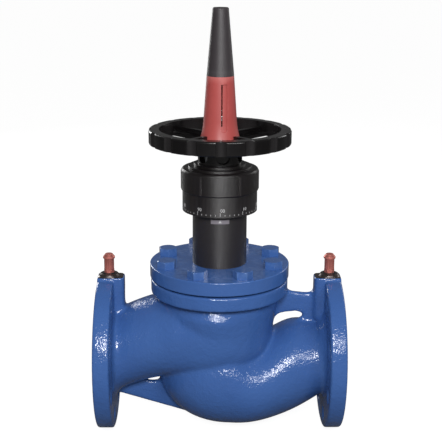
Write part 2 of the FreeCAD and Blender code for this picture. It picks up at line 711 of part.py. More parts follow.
def guide_bush():
    """Plain bush pressed into the bonnet's guide boss."""
    bottom = BONNET_BOTTOM - GUIDE_BOSS_DROP
    top = BONNET_BOTTOM + BONNET_CROWN + GUIDE_BUSH_ABOVE_DISH
    return tube(STEM_R + FIT, STEM_R + FIT + GUIDE_BUSH_WALL - PRESSED, bottom, top)


def stem_seals():
    """Sealing rings stacked in the packing box."""
    rings = []
    for number in range(PACKING_RING_COUNT):
        bottom = PACKING_FLOOR + number * PACKING_RING_HEIGHT
        ring = tube(STEM_R + FIT, PACKING_R - SEAL_PLAY, bottom, bottom + PACKING_RING_HEIGHT - SEAL_PLAY)
        rings.append(ring)
    return Part.makeCompound(rings)


def gland_nut():
    """Hexagon nut that screws into the packing box and presses on the rings."""
    stack_top = PACKING_FLOOR + PACKING_RING_COUNT * PACKING_RING_HEIGHT
    nut = disc(PACKING_R - FIT, stack_top, GLAND_SEAT + JOIN_PAST)
    nut = nut.fuse(chamfered_hexagon(GLAND_HEX_FLATS, GLAND_SEAT, GLAND_TOP))
    return nut.cut(disc(STEM_R + THREAD_GAP, stack_top - CUT_PAST, GLAND_TOP + CUT_PAST)).removeSplitter()


# Closing trim


def seat_ring():
    """Ring screwed into the bridge; its lip is the seat."""
    return turned([
        (SEAT_BORE_R, BRIDGE_BOTTOM),
        (BORE_R - FIT, BRIDGE_BOTTOM),
        (BORE_R - FIT, BRIDGE_TOP),
        (SEAT_FLANGE_R, BRIDGE_TOP),
        (SEAT_FLANGE_R, SEAT_FACE - SEAT_LIP_BEVEL),
        (SEAT_FLANGE_R - SEAT_LIP_BEVEL, SEAT_FACE),
        (SEAT_BORE_R, SEAT_FACE),
    ])


def plug_disc():
    """Closing disc with the hub for the stem and the groove for its soft ring."""
    top = PLUG_BOTTOM + PLUG_THICK
    groove_out = PLUG_R - PLUG_SEAL_RIM
    groove_in = groove_out - PLUG_SEAL_WIDTH
    return turned([
        (STEM_FOOT_R + FIT, PLUG_BOTTOM),
        (groove_in, PLUG_BOTTOM),
        (groove_in, PLUG_BOTTOM + PLUG_SEAL_THICK),
        (groove_out, PLUG_BOTTOM + PLUG_SEAL_THICK),
        (groove_out, PLUG_BOTTOM + PLUG_RIM_STEP),
        (PLUG_R, PLUG_BOTTOM + PLUG_RIM_STEP),
        (PLUG_R, top - PLUG_BEVEL),
        (PLUG_R - PLUG_BEVEL, top),
        (PLUG_HUB_R + PLUG_HUB_FLARE, top),
        (PLUG_HUB_R, top + PLUG_HUB_FLARE),
        (PLUG_HUB_R, STEM_SHOULDER),
        (STEM_FOOT_R + FIT, STEM_SHOULDER),
    ])


def plug_seal():
    """Soft ring that meets the seat."""
    outer = PLUG_R - PLUG_SEAL_RIM - SEAL_PLAY
    inner = PLUG_R - PLUG_SEAL_RIM - PLUG_SEAL_WIDTH + SEAL_PLAY
    return tube(inner, outer, PLUG_BOTTOM + SEAL_PLAY, PLUG_BOTTOM + PLUG_SEAL_THICK)


def throttle_cone():
    """Regulating body in the seat bore, narrowing along a curve from the disc to its tip."""
    start = Vector(CONE_TOP_R, 0, PLUG_BOTTOM - CONE_LAND)
    end = Vector(CONE_TIP_R, 0, CONE_BOTTOM)
    bulge = Vector((start.x + end.x) / 2 + CONE_BULGE, 0, (start.z + end.z) / 2)
    corners = [
        end,
        Vector(STEM_FOOT_R + FIT, 0, CONE_BOTTOM),
        Vector(STEM_FOOT_R + FIT, 0, PLUG_BOTTOM),
        Vector(CONE_TOP_R, 0, PLUG_BOTTOM),
        start,
    ]
    edges = [Part.makeLine(a, b) for a, b in zip(corners, corners[1:])]
    edges.append(Part.Arc(start, bulge, end).toShape())
    return Part.Face(Part.Wire(edges)).revolve(Vector(0, 0, 0), UP, 360)


def plug_nut():
    """Nut that clamps cone and disc against the stem's shoulder."""
    nut = chamfered_hexagon(PLUG_NUT_FLATS, CONE_BOTTOM - PLUG_NUT_HEIGHT, CONE_BOTTOM)
    return nut.cut(disc(STEM_FOOT_R + FIT, CONE_BOTTOM - PLUG_NUT_HEIGHT - CUT_PAST, CONE_BOTTOM + CUT_PAST))


def stem():
    """Rising stem: foot for the plug, cross hole for the guide pin, blind hole in its top."""
    foot_bottom = CONE_BOTTOM - PLUG_NUT_HEIGHT - 2 * EDGE
    rod = turned([
        (0, foot_bottom),
        (STEM_FOOT_R - EDGE, foot_bottom),
        (STEM_FOOT_R, foot_bottom + EDGE),
        (STEM_FOOT_R, STEM_SHOULDER),
        (STEM_R, STEM_SHOULDER),
        (STEM_R, STEM_TOP - EDGE),
        (STEM_R - EDGE, STEM_TOP),
        (0, STEM_TOP),
    ])
    across = Part.makeCylinder(GUIDE_PIN_R + PRESSED, 4 * STEM_R, Vector(0, -2 * STEM_R, PIN_Z), Vector(0, 1, 0))
    hole_bottom = STEM_TOP - STOP_SCREW_LENGTH + STOP_SCREW_PROUD - CUT_PAST
    top_hole = disc(STOP_SCREW_R + FIT, hole_bottom, STEM_TOP + CUT_PAST)
    return rod.cut([across, top_hole])


def guide_pin():
    """Cross pin that slides in the sleeve's grooves and keeps the stem from turning."""
    start = Vector(0, -GUIDE_PIN_HALF_LENGTH, PIN_Z)
    pin = Part.makeCylinder(GUIDE_PIN_R, 2 * GUIDE_PIN_HALF_LENGTH, start, Vector(0, 1, 0))
    return pin.makeChamfer(PIN_CHAMFER, [edge for edge in pin.Edges if isinstance(edge.Curve, Part.Circle)])


def travel_stop():
    """Screw in the stem's top that sets how far the valve opens."""
    bottom = STEM_TOP - STOP_SCREW_LENGTH + STOP_SCREW_PROUD
    top = STEM_TOP + STOP_SCREW_PROUD
    screw = disc(STOP_SCREW_R, bottom, top)
    half = STOP_SLOT_WIDTH / 2
    slot = block(-STOP_SCREW_R, STOP_SCREW_R, -half, half, top - STOP_SLOT_DEPTH, top + CUT_PAST)
    return screw.cut(slot)


def stop_lock_nut():
    """Nut that locks the stop screw on the stem's top."""
    nut = chamfered_hexagon(STOP_NUT_FLATS, STEM_TOP, STEM_TOP + STOP_NUT_HEIGHT)
    return nut.cut(disc(STOP_SCREW_R + FIT, STEM_TOP - CUT_PAST, STEM_TOP + STOP_NUT_HEIGHT + CUT_PAST))


# Sleeve group


def indicator_sleeve():
    """Fixed tube on the bonnet's neck; it guides the pin and carries the turning nut."""
    foot_top = GLAND_SEAT + EDGE
    sleeve = turned([
        (BONNET_NECK_R + FIT, BONNET_TOP),
        (SLEEVE_R, BONNET_TOP),
        (SLEEVE_R, SLEEVE_TOP - EDGE),
        (SLEEVE_R - EDGE, SLEEVE_TOP),
        (BONNET_NECK_R + FIT, SLEEVE_TOP),
        (BONNET_NECK_R + FIT, SLEEVE_SEAT),
        (SLEEVE_BORE_R, SLEEVE_SEAT),
        (SLEEVE_BORE_R, foot_top),
        (BONNET_NECK_R + FIT, foot_top),
    ])
    half = GUIDE_PIN_R + 2 * RUNNING_GAP
    deep = SLEEVE_BORE_R + GROOVE_DEPTH
    groove = block(-half, half, -deep, deep, foot_top - CUT_PAST, SLEEVE_SEAT + CUT_PAST)
    start = Vector(0, SLEEVE_R + CUT_PAST, BONNET_TOP + GRUB_SCREW_HEIGHT)
    grub = Part.makeCylinder(GRUB_SCREW_R + FIT, SLEEVE_R, start, Vector(0, -1, 0))
    front_half = block(-SLEEVE_R, SLEEVE_R, -SLEEVE_R, 0, BONNET_TOP, GLAND_SEAT)
    return sleeve.cut([groove, grub.cut(front_half)])


def sleeve_grub_screw():
    """Set screw at the back that locks the sleeve on the neck."""
    start = Vector(0, BONNET_NECK_R, BONNET_TOP + GRUB_SCREW_HEIGHT)
    screw = Part.makeCylinder(GRUB_SCREW_R, GRUB_SCREW_LENGTH, start, Vector(0, 1, 0))
    socket_start = start + Vector(0, GRUB_SCREW_LENGTH - GRUB_SOCKET_DEPTH, 0)
    socket = Part.makeCylinder(GRUB_SOCKET_R, GRUB_SOCKET_DEPTH + CUT_PAST, socket_start, Vector(0, 1, 0))
    neck = disc(BONNET_NECK_R, BONNET_TOP, GLAND_SEAT)
    return screw.cut([socket, neck])


def index_plate():
    """Curved plate on the sleeve with the pointer, at the front just under the drum."""
    top = THIMBLE_BOTTOM - PLATE_GAP
    band = tube(SLEEVE_R, SLEEVE_R + PLATE_THICK, top - PLATE_HEIGHT, top)
    half = SLEEVE_R * math.sin(PLATE_WIDTH / 2 / SLEEVE_R)
    return band.common(block(-half, half, -2 * SLEEVE_R, 0, top - PLATE_HEIGHT, top))


def thrust_washer(bottom):
    """Flat washer that takes the nut's thrust."""
    return tube(NUT_BODY_R + EDGE, BONNET_NECK_R - 2 * RUNNING_GAP, bottom, bottom + WASHER_THICK)


def lower_thrust_washer():
    """Thrust washer on the sleeve's seat."""
    return thrust_washer(SLEEVE_SEAT)


def upper_thrust_washer():
    """Thrust washer under the bearing ring."""
    return thrust_washer(UPPER_WASHER_BOTTOM)


def bearing_ring():
    """Threaded ring that keeps the turning nut in the sleeve, with two spanner holes."""
    top = BEARING_RING_BOTTOM + BEARING_RING_HEIGHT
    ring = tube(NUT_BODY_R + RUNNING_GAP, BONNET_NECK_R, BEARING_RING_BOTTOM, top)
    middle = (NUT_BODY_R + BONNET_NECK_R) / 2
    hole = disc(SPANNER_HOLE_R, top - SPANNER_HOLE_DEPTH, top + CUT_PAST, middle)
    return ring.cut(around(hole, 2))


def key_seat(clearance):
    """Room of the key that joins the turning nut and the handwheel."""
    half = KEY_WIDTH / 2 + clearance
    bottom = COLLAR_TOP + KEY_ABOVE_COLLAR - clearance
    top = COLLAR_TOP + KEY_ABOVE_COLLAR + KEY_LENGTH + clearance
    outer = NUT_SHANK_R + KEY_WIDTH / 2 + clearance
    return block(-half, half, NUT_SHANK_R - KEY_WIDTH / 2 - clearance, outer, bottom, top)


def stem_nut():
    """Turning nut on the stem's thread: flange between the washers, shank up to the handwheel."""
    shank_top = WHEEL_WEB_BOTTOM
    end_top = WHEEL_WEB_TOP + NUT_END_LENGTH - WHEEL_WEB_THICK
    thread_r = STEM_R + RUNNING_GAP
    nut = turned([
        (thread_r, NUT_BOTTOM),
        (NUT_FLANGE_R, NUT_BOTTOM),
        (NUT_FLANGE_R, NUT_FLANGE_TOP),
        (NUT_BODY_R, NUT_FLANGE_TOP),
        (NUT_BODY_R, THIMBLE_CEILING),
        (NUT_SHANK_R, THIMBLE_CEILING),
        (NUT_SHANK_R, shank_top),
        (NUT_END_R, shank_top),
        (NUT_END_R, end_top - EDGE),
        (NUT_END_R - EDGE, end_top),
        (thread_r, end_top),
    ])
    return nut.cut(key_seat(PRESSED))


def wheel_key():
    """Feather key between the nut's shank and the handwheel's neck."""
    return key_seat(0.0)


# Turning group outside


def scale_thimble():
    """Moulded drum over the sleeve: stepped top, upright ribs on its upper band, plain scale skirt."""
    inner = THIMBLE_SKIRT_R - THIMBLE_WALL
    band_bottom = THIMBLE_TOP - THIMBLE_BAND
    drum = turned([
        (NUT_SHANK_R + FIT, THIMBLE_CEILING),
        (inner - THIMBLE_CEILING_BEVEL, THIMBLE_CEILING),
        (inner, THIMBLE_CEILING - THIMBLE_CEILING_BEVEL),
        (inner, THIMBLE_BOTTOM),
        (THIMBLE_SKIRT_R, THIMBLE_BOTTOM),
        (THIMBLE_SKIRT_R, band_bottom - THIMBLE_BAND_STEP),
        (THIMBLE_R, band_bottom),
        (THIMBLE_R, THIMBLE_TOP),
        (COLLAR_R, THIMBLE_TOP),
        (COLLAR_R, THIMBLE_TOP + COLLAR_HEIGHT),
        (COLLAR_STEP_R, THIMBLE_TOP + COLLAR_HEIGHT),
        (COLLAR_STEP_R, COLLAR_TOP),
        (NUT_SHANK_R + FIT, COLLAR_TOP),
    ])
    drum = drum.makeFillet(THIMBLE_EDGE_ROUND, circle_edges(drum, THIMBLE_R, THIMBLE_TOP))
    drum = drum.makeFillet(COLLAR_ROUND, circle_edges(drum, COLLAR_R, THIMBLE_TOP + COLLAR_HEIGHT))
    drum = drum.makeFillet(COLLAR_ROUND, circle_edges(drum, COLLAR_STEP_R, COLLAR_TOP))
    half = THIMBLE_RIB_WIDTH / 2
    rib = block(THIMBLE_R - JOIN_PAST, THIMBLE_R + THIMBLE_RIB_PROUD, -half, half,
                band_bottom, THIMBLE_TOP - THIMBLE_EDGE_ROUND)
    drum = drum.fuse(around(rib, THIMBLE_RIB_COUNT, FRONT_ANGLE + 180.0 / THIMBLE_RIB_COUNT))
    hole = disc(DRUM_SCREW_R + FIT, THIMBLE_CEILING - CUT_PAST, COLLAR_TOP + CUT_PAST, DRUM_SCREW_CIRCLE_R)
    return drum.cut(around(hole, DRUM_SCREW_COUNT, SPOKE_ANGLE))


def drum_screws():
    """Screws from inside the drum into the handwheel's neck."""
    head_bottom = THIMBLE_CEILING - DRUM_SCREW_HEAD_HEIGHT
    head = disc(DRUM_SCREW_HEAD_R, head_bottom, THIMBLE_CEILING, DRUM_SCREW_CIRCLE_R)
    shank = disc(DRUM_SCREW_R, THIMBLE_CEILING - JOIN_PAST, COLLAR_TOP + DRUM_SCREW_LENGTH, DRUM_SCREW_CIRCLE_R)
    screw = head.fuse(shank).removeSplitter()
    return Part.makeCompound(around(screw, DRUM_SCREW_COUNT, SPOKE_ANGLE))


def wheel_neck():
    """Hub neck under the wheel with arched pockets round it."""
    neck = disc(WHEEL_NECK_R, COLLAR_TOP, WHEEL_WEB_BOTTOM + JOIN_PAST)
    floor_r = WHEEL_NECK_R - WHEEL_POCKET_DEPTH
    half = WHEEL_POCKET_WIDTH / 2
    arch_z = COLLAR_TOP + WHEEL_POCKET_SILL + half
    outside = WHEEL_NECK_R + CUT_PAST
    pocket = block(floor_r, outside, -half, half, arch_z, WHEEL_WEB_BOTTOM - WHEEL_POCKET_ROOF)
    arch = Part.makeCylinder(half, outside - floor_r, Vector(floor_r, 0, arch_z), ALONG_PIPE)
    pockets = around(pocket.fuse(arch), WHEEL_POCKET_COUNT, FRONT_ANGLE + WHEEL_POCKET_TURN)
    return neck.cut(pockets)


def wheel_spoke():
    """Flat spoke with an upright rib, along +X."""
    half = WHEEL_SPOKE_WIDTH / 2
    reach = WHEEL_R - WHEEL_RIM_WIDTH + JOIN_PAST
    start = WHEEL_HUB_R - WHEEL_RIB_WIDTH
    flat = block(start, reach, -half, half, WHEEL_WEB_BOTTOM, WHEEL_WEB_TOP)
    rib_half = WHEEL_RIB_WIDTH / 2
    rib = block(start, reach, -rib_half, rib_half, WHEEL_WEB_BOTTOM, WHEEL_WEB_TOP + WHEEL_RIB_HEIGHT)
    return flat.fuse(rib)


def handwheel():
    """Moulded wheel: lobed rim, flat ribbed spokes, hub disc and neck."""
    rim = tube(WHEEL_R - WHEEL_RIM_WIDTH, WHEEL_R, WHEEL_WEB_BOTTOM, WHEEL_RIM_TOP)
    edges = circle_edges(rim, WHEEL_R, WHEEL_WEB_BOTTOM) + circle_edges(rim, WHEEL_R, WHEEL_RIM_TOP)
    rim = rim.makeFillet(WHEEL_RIM_ROUND, edges)
    notch = disc(WHEEL_NOTCH_R, WHEEL_WEB_BOTTOM - CUT_PAST, WHEEL_RIM_TOP + CUT_PAST,
                 WHEEL_R + WHEEL_NOTCH_R - WHEEL_NOTCH_DEPTH)
    rim = rim.cut(around(notch, WHEEL_LOBE_COUNT, FRONT_ANGLE))
    hub = disc(WHEEL_HUB_R, WHEEL_WEB_BOTTOM, WHEEL_WEB_TOP)
    seat_r = COVER_FOOT_R - COVER_WALL - FIT
    hub = hub.fuse(disc(seat_r, WHEEL_WEB_TOP - JOIN_PAST, WHEEL_WEB_TOP + COVER_SEAT_HEIGHT))
    wheel = rim.fuse([hub, wheel_neck()] + around(wheel_spoke(), WHEEL_SPOKE_COUNT, SPOKE_ANGLE))
    shank = disc(NUT_SHANK_R + FIT, COLLAR_TOP - CUT_PAST, WHEEL_WEB_BOTTOM)
    end = disc(NUT_END_R + FIT, WHEEL_WEB_BOTTOM - CUT_PAST, WHEEL_WEB_TOP)
    pan = disc(seat_r - COVER_SEAT_WALL, WHEEL_WEB_TOP, WHEEL_WEB_TOP + COVER_SEAT_HEIGHT + CUT_PAST)
    screw_top = COLLAR_TOP + DRUM_SCREW_LENGTH + CUT_PAST
    screw = disc(DRUM_SCREW_R + FIT, COLLAR_TOP - CUT_PAST, screw_top, DRUM_SCREW_CIRCLE_R)
    screws = around(screw, DRUM_SCREW_COUNT, SPOKE_ANGLE)
    return wheel.cut([shank, end, pan, key_seat(PRESSED)] + screws).removeSplitter()


def wheel_washer():
    """Washer under the wheel nut."""
    outer = WHEEL_NUT_FLATS / 2 + WHEEL_WASHER_BORDER
    return tube(NUT_END_R + FIT, outer, WHEEL_WEB_TOP, WHEEL_WEB_TOP + WHEEL_WASHER_THICK)


def wheel_nut():
    """Nut that holds the handwheel on the turning nut's end."""
    bottom = WHEEL_WEB_TOP + WHEEL_WASHER_THICK
    nut = chamfered_hexagon(WHEEL_NUT_FLATS, bottom, bottom + WHEEL_NUT_HEIGHT)
    return nut.cut(disc(NUT_END_R + FIT, bottom - CUT_PAST, bottom + WHEEL_NUT_HEIGHT + CUT_PAST))


def cover_outline(inset, bottom, top):
    """Half outline of the stem cover: a flared foot, then a long straight taper; inset goes inwards."""
    heel = Vector(COVER_FOOT_R - inset, 0, bottom)
    foot = Vector(COVER_FOOT_R - inset, 0, WHEEL_WEB_TOP + COVER_SEAT_HEIGHT)
    waist = Vector(COVER_WAIST_R - inset, 0, WHEEL_WEB_TOP + COVER_WAIST_HEIGHT)
    mid_r = COVER_WAIST_R + (COVER_FOOT_R - COVER_WAIST_R) * COVER_FLARE_SHARE - inset
    mid = Vector(mid_r, 0, (foot.z + waist.z) / 2)
    rim = Vector(COVER_TOP_R - inset, 0, top)
    edges = [Part.makeLine(heel, foot), Part.Arc(foot, mid, waist).toShape(), Part.makeLine(waist, rim)]
    axis_top = Vector(0, 0, top)
    axis_bottom = Vector(0, 0, bottom)
    edges += [Part.makeLine(rim, axis_top), Part.makeLine(axis_top, axis_bottom)]
    edges.append(Part.makeLine(axis_bottom, heel))
    return Part.Face(Part.Wire(edges)).revolve(Vector(0, 0, 0), UP, 360)


def cover_channel():
    """Sunk channel up the front of the cover, round at its foot, on a slope like the wall's."""
    bottom = WHEEL_WEB_TOP + CHANNEL_BOTTOM
    top = WHEEL_WEB_TOP + CHANNEL_TOP
    half = CHANNEL_WIDTH / 2
    core = cover_outline(CHANNEL_DEPTH, WHEEL_WEB_TOP - CUT_PAST, COVER_TOP + CUT_PAST)
    upright = block(CHANNEL_OFFSET - half, CHANNEL_OFFSET + half, -2 * COVER_FOOT_R, 0, bottom + half, top)
    start = Vector(CHANNEL_OFFSET, 0, bottom + half)
    foot = Part.makeCylinder(half, 2 * COVER_FOOT_R, start, Vector(0, -1, 0))
    return upright.fuse(foot).cut(core)


def stem_cover():
    """Tapered cover over the rising stem, with the channel and the slit that shows the stem's end."""
    shell = cover_outline(0.0, WHEEL_WEB_TOP, COVER_TOP)
    shell = shell.makeFillet(COVER_FOOT_ROUND, circle_edges(shell, COVER_FOOT_R, WHEEL_WEB_TOP))
    shell = shell.cut(cover_outline(COVER_WALL, WHEEL_WEB_TOP - CUT_PAST, COVER_TOP + CUT_PAST))
    left = CHANNEL_OFFSET - CHANNEL_WIDTH / 2
    slit = block(left, left + SLIT_WIDTH, -2 * COVER_FOOT_R, 0,
                 WHEEL_WEB_TOP + SLIT_BOTTOM, WHEEL_WEB_TOP + CHANNEL_TOP)
    front_cuts = cover_channel().fuse(slit)
    back_cuts = front_cuts.copy()
    back_cuts.rotate(Vector(0, 0, 0), UP, 180)
    return shell.cut([front_cuts, back_cuts])


def cover_cap():
    """Hollow tapered cap that plugs into the top of the stem cover."""
    top = COVER_TOP + CAP_LENGTH
    spigot_r = COVER_TOP_R - COVER_WALL - FIT
    spigot_bottom = COVER_TOP - CAP_SPIGOT_LENGTH
    return turned([
        (spigot_r - CAP_SPIGOT_WALL, spigot_bottom),
        (spigot_r, spigot_bottom),
        (spigot_r, COVER_TOP),
        (COVER_TOP_R, COVER_TOP),
        (CAP_TOP_R, top - CAP_TOP_CHAMFER),
        (CAP_TOP_R - CAP_TOP_CHAMFER, top),
        (0, top),
        (0, top - CAP_WALL),
        (CAP_TOP_R - CAP_WALL, top - CAP_WALL),
        (spigot_r - CAP_SPIGOT_WALL, COVER_TOP),
    ])


# Test points, each made at the stem axis and then moved over its pad


def at_test_point(shape, side):
    """The shape moved from the stem axis to the pad on one side."""
    shape.translate(Vector(side * TEST_POINT_X, 0, 0))
    return shape


def test_point_washer(side):
    """Sealing washer under the hexagon."""
    outer = TEST_BASE_FLATS / 2 + TEST_WASHER_BORDER
    washer = tube(TEST_TAP_R, outer, TEST_PAD_TOP, TEST_PAD_TOP + TEST_WASHER_THICK)
    return at_test_point(washer, side)


def test_point_body(side):
    """Threaded nipple with a hexagon, a bore for the probe and a seat for the rubber core."""
    base = TEST_PAD_TOP + TEST_WASHER_THICK
    top = base + TEST_BASE_HEIGHT + TEST_NIPPLE_HEIGHT
    thread_bottom = TEST_PAD_TOP - TEST_TAP_DEPTH + TEST_THREAD_SHORT
    body = disc(TEST_TAP_R - FIT, thread_bottom, base + JOIN_PAST)
    body = body.fuse([
        chamfered_hexagon(TEST_BASE_FLATS, base, base + TEST_BASE_HEIGHT),
        disc(TEST_NIPPLE_R, base + TEST_BASE_HEIGHT - JOIN_PAST, top),
    ])
    core = disc(TEST_CORE_R, top - TEST_CORE_DROP - TEST_CORE_DEPTH, top + CUT_PAST)
    channel = disc(TEST_DRILL_R / 2, thread_bottom - CUT_PAST, top)
    return at_test_point(body.cut([core, channel]).removeSplitter(), side)


def test_point_core(side):
    """Rubber core that closes again when the probe is drawn out."""
    base = TEST_PAD_TOP + TEST_WASHER_THICK
    top = base + TEST_BASE_HEIGHT + TEST_NIPPLE_HEIGHT - TEST_CORE_DROP
    return at_test_point(disc(TEST_CORE_R - SEAL_PLAY, top - TEST_CORE_DEPTH + SEAL_PLAY, top), side)


def test_point_cap(side):
    """Turned cap with grip flutes, a wide head and a low dome."""
    bottom = TEST_PAD_TOP + TEST_WASHER_THICK + TEST_BASE_HEIGHT + THREAD_GAP
    neck_top = bottom + TEST_CAP_HEIGHT
    head_top = neck_top + TEST_CAP_HEAD_HEIGHT
    room_top = bottom + TEST_NIPPLE_HEIGHT + CUT_PAST
    cap = turned([
        (TEST_NIPPLE_R + 2 * RUNNING_GAP, bottom),
        (TEST_CAP_R, bottom),
        (TEST_CAP_R, neck_top),
        (TEST_CAP_HEAD_R, neck_top + EDGE),
        (TEST_CAP_HEAD_R, head_top),
        (TEST_CAP_HEAD_R * TEST_CAP_DOME_SHARE, head_top + TEST_CAP_DOME),
        (0, head_top + TEST_CAP_DOME),
        (0, room_top),
        (TEST_NIPPLE_R + 2 * RUNNING_GAP, room_top),
    ])
    flute = disc(TEST_CAP_FLUTE_R, bottom - CUT_PAST, neck_top, TEST_CAP_R + TEST_CAP_FLUTE_R / 2)
    return at_test_point(cap.cut(around(flute, TEST_CAP_FLUTES)), side)


def write(shape, node):
    """Save a piece under its node's name, with the origin at the middle of the outlet flange's face."""
    moved = shape.copy()
    moved.translate(Vector(HALF_LENGTH, 0, 0))
    moved.exportStep("parts/" + node + ".step")


def main():
    """Make and save every piece."""
    os.makedirs("parts", exist_ok=True)
    makers = [
        valve_body, bonnet, bonnet_gasket, bonnet_bolts, guide_bush, stem_seals, gland_nut,
        seat_ring, plug_disc, plug_seal, throttle_cone, plug_nut, stem, guide_pin, travel_stop,
        stop_lock_nut, indicator_sleeve, sleeve_grub_screw, index_plate, lower_thrust_washer,
        upper_thrust_washer, bearing_ring, stem_nut, wheel_key, scale_thimble, drum_screws,
        handwheel, wheel_washer, wheel_nut, stem_cover, cover_cap,
    ]
    for make in makers:
        write(make(), make.__name__)
    for side, place in ((-1, "outlet"), (1, "inlet")):
        write(test_point_washer(side), place + "_test_point_washer")
        write(test_point_body(side), place + "_test_point_body")
        write(test_point_core(side), place + "_test_point_core")
        write(test_point_cap(side), place + "_test_point_cap")


main()
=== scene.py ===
import json
import math

import bmesh
import bpy
import numpy as np
from mathutils import Matrix, Vector


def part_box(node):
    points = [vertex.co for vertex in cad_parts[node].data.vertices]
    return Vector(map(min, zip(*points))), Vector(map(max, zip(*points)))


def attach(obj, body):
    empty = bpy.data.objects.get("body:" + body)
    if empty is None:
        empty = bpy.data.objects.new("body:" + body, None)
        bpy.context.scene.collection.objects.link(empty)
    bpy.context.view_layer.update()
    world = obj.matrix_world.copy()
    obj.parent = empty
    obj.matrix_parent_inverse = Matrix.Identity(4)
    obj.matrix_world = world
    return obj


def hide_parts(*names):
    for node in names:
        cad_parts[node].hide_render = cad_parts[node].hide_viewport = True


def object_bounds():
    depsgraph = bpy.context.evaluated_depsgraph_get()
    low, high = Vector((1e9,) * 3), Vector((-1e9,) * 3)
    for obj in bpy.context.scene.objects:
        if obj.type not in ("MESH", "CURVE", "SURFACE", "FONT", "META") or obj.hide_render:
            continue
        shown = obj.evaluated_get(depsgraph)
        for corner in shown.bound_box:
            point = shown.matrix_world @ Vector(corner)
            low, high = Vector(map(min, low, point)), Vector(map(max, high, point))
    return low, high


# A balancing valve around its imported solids. Lengths are in metres and angles in degrees.
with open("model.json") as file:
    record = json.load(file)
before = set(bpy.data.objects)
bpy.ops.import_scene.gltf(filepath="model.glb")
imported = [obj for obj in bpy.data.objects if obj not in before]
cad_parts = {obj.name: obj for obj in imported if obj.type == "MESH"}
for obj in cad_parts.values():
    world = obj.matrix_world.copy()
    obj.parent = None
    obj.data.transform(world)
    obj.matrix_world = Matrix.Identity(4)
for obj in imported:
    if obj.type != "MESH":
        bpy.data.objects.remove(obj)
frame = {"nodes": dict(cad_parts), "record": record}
CAD_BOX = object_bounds()
NODES = frame["nodes"]
MM = 0.001
TURN = 2 * math.pi


def middle_of(node):
    """Middle of a solid's box."""
    low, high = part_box(node)
    return (low + high) / 2


STEM_X = middle_of("stem").x
INLET_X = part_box("valve_body")[1].x

# View of the photograph: lens for its width, place of the camera and the way it looks
LENS = 83.43
SENSOR_WIDTH = 36.0
CAMERA_FROM_STEM = (-19.3 * MM, -1377.7 * MM, 576.1 * MM)
CAMERA_DOWN = 15.42
CAMERA_YAW = 0.88
CAMERA_ROLL = 0.31


# Shader building


class Signal:
    """A number or colour inside a material; sums, differences and products add the nodes for them."""

    def __init__(self, shader, socket):
        self.shader = shader
        self.socket = socket

    def maths(self, operation, first, second):
        return self.shader.node("ShaderNodeMath", {"operation": operation}, {0: first, 1: second})

    def __add__(self, other):
        return self.maths("ADD", self, other)

    def __radd__(self, other):
        return self.maths("ADD", other, self)

    def __sub__(self, other):
        return self.maths("SUBTRACT", self, other)

    def __rsub__(self, other):
        return self.maths("SUBTRACT", other, self)

    def __mul__(self, other):
        return self.maths("MULTIPLY", self, other)

    def __rmul__(self, other):
        return self.maths("MULTIPLY", other, self)

    def above(self, level, softness):
        """0 below the level, 1 above it, over a soft step."""
        return self.shader.node("ShaderNodeMapRange", {"interpolation_type": "SMOOTHSTEP"},
                                {"Value": self, "From Min": level - softness, "From Max": level + softness})


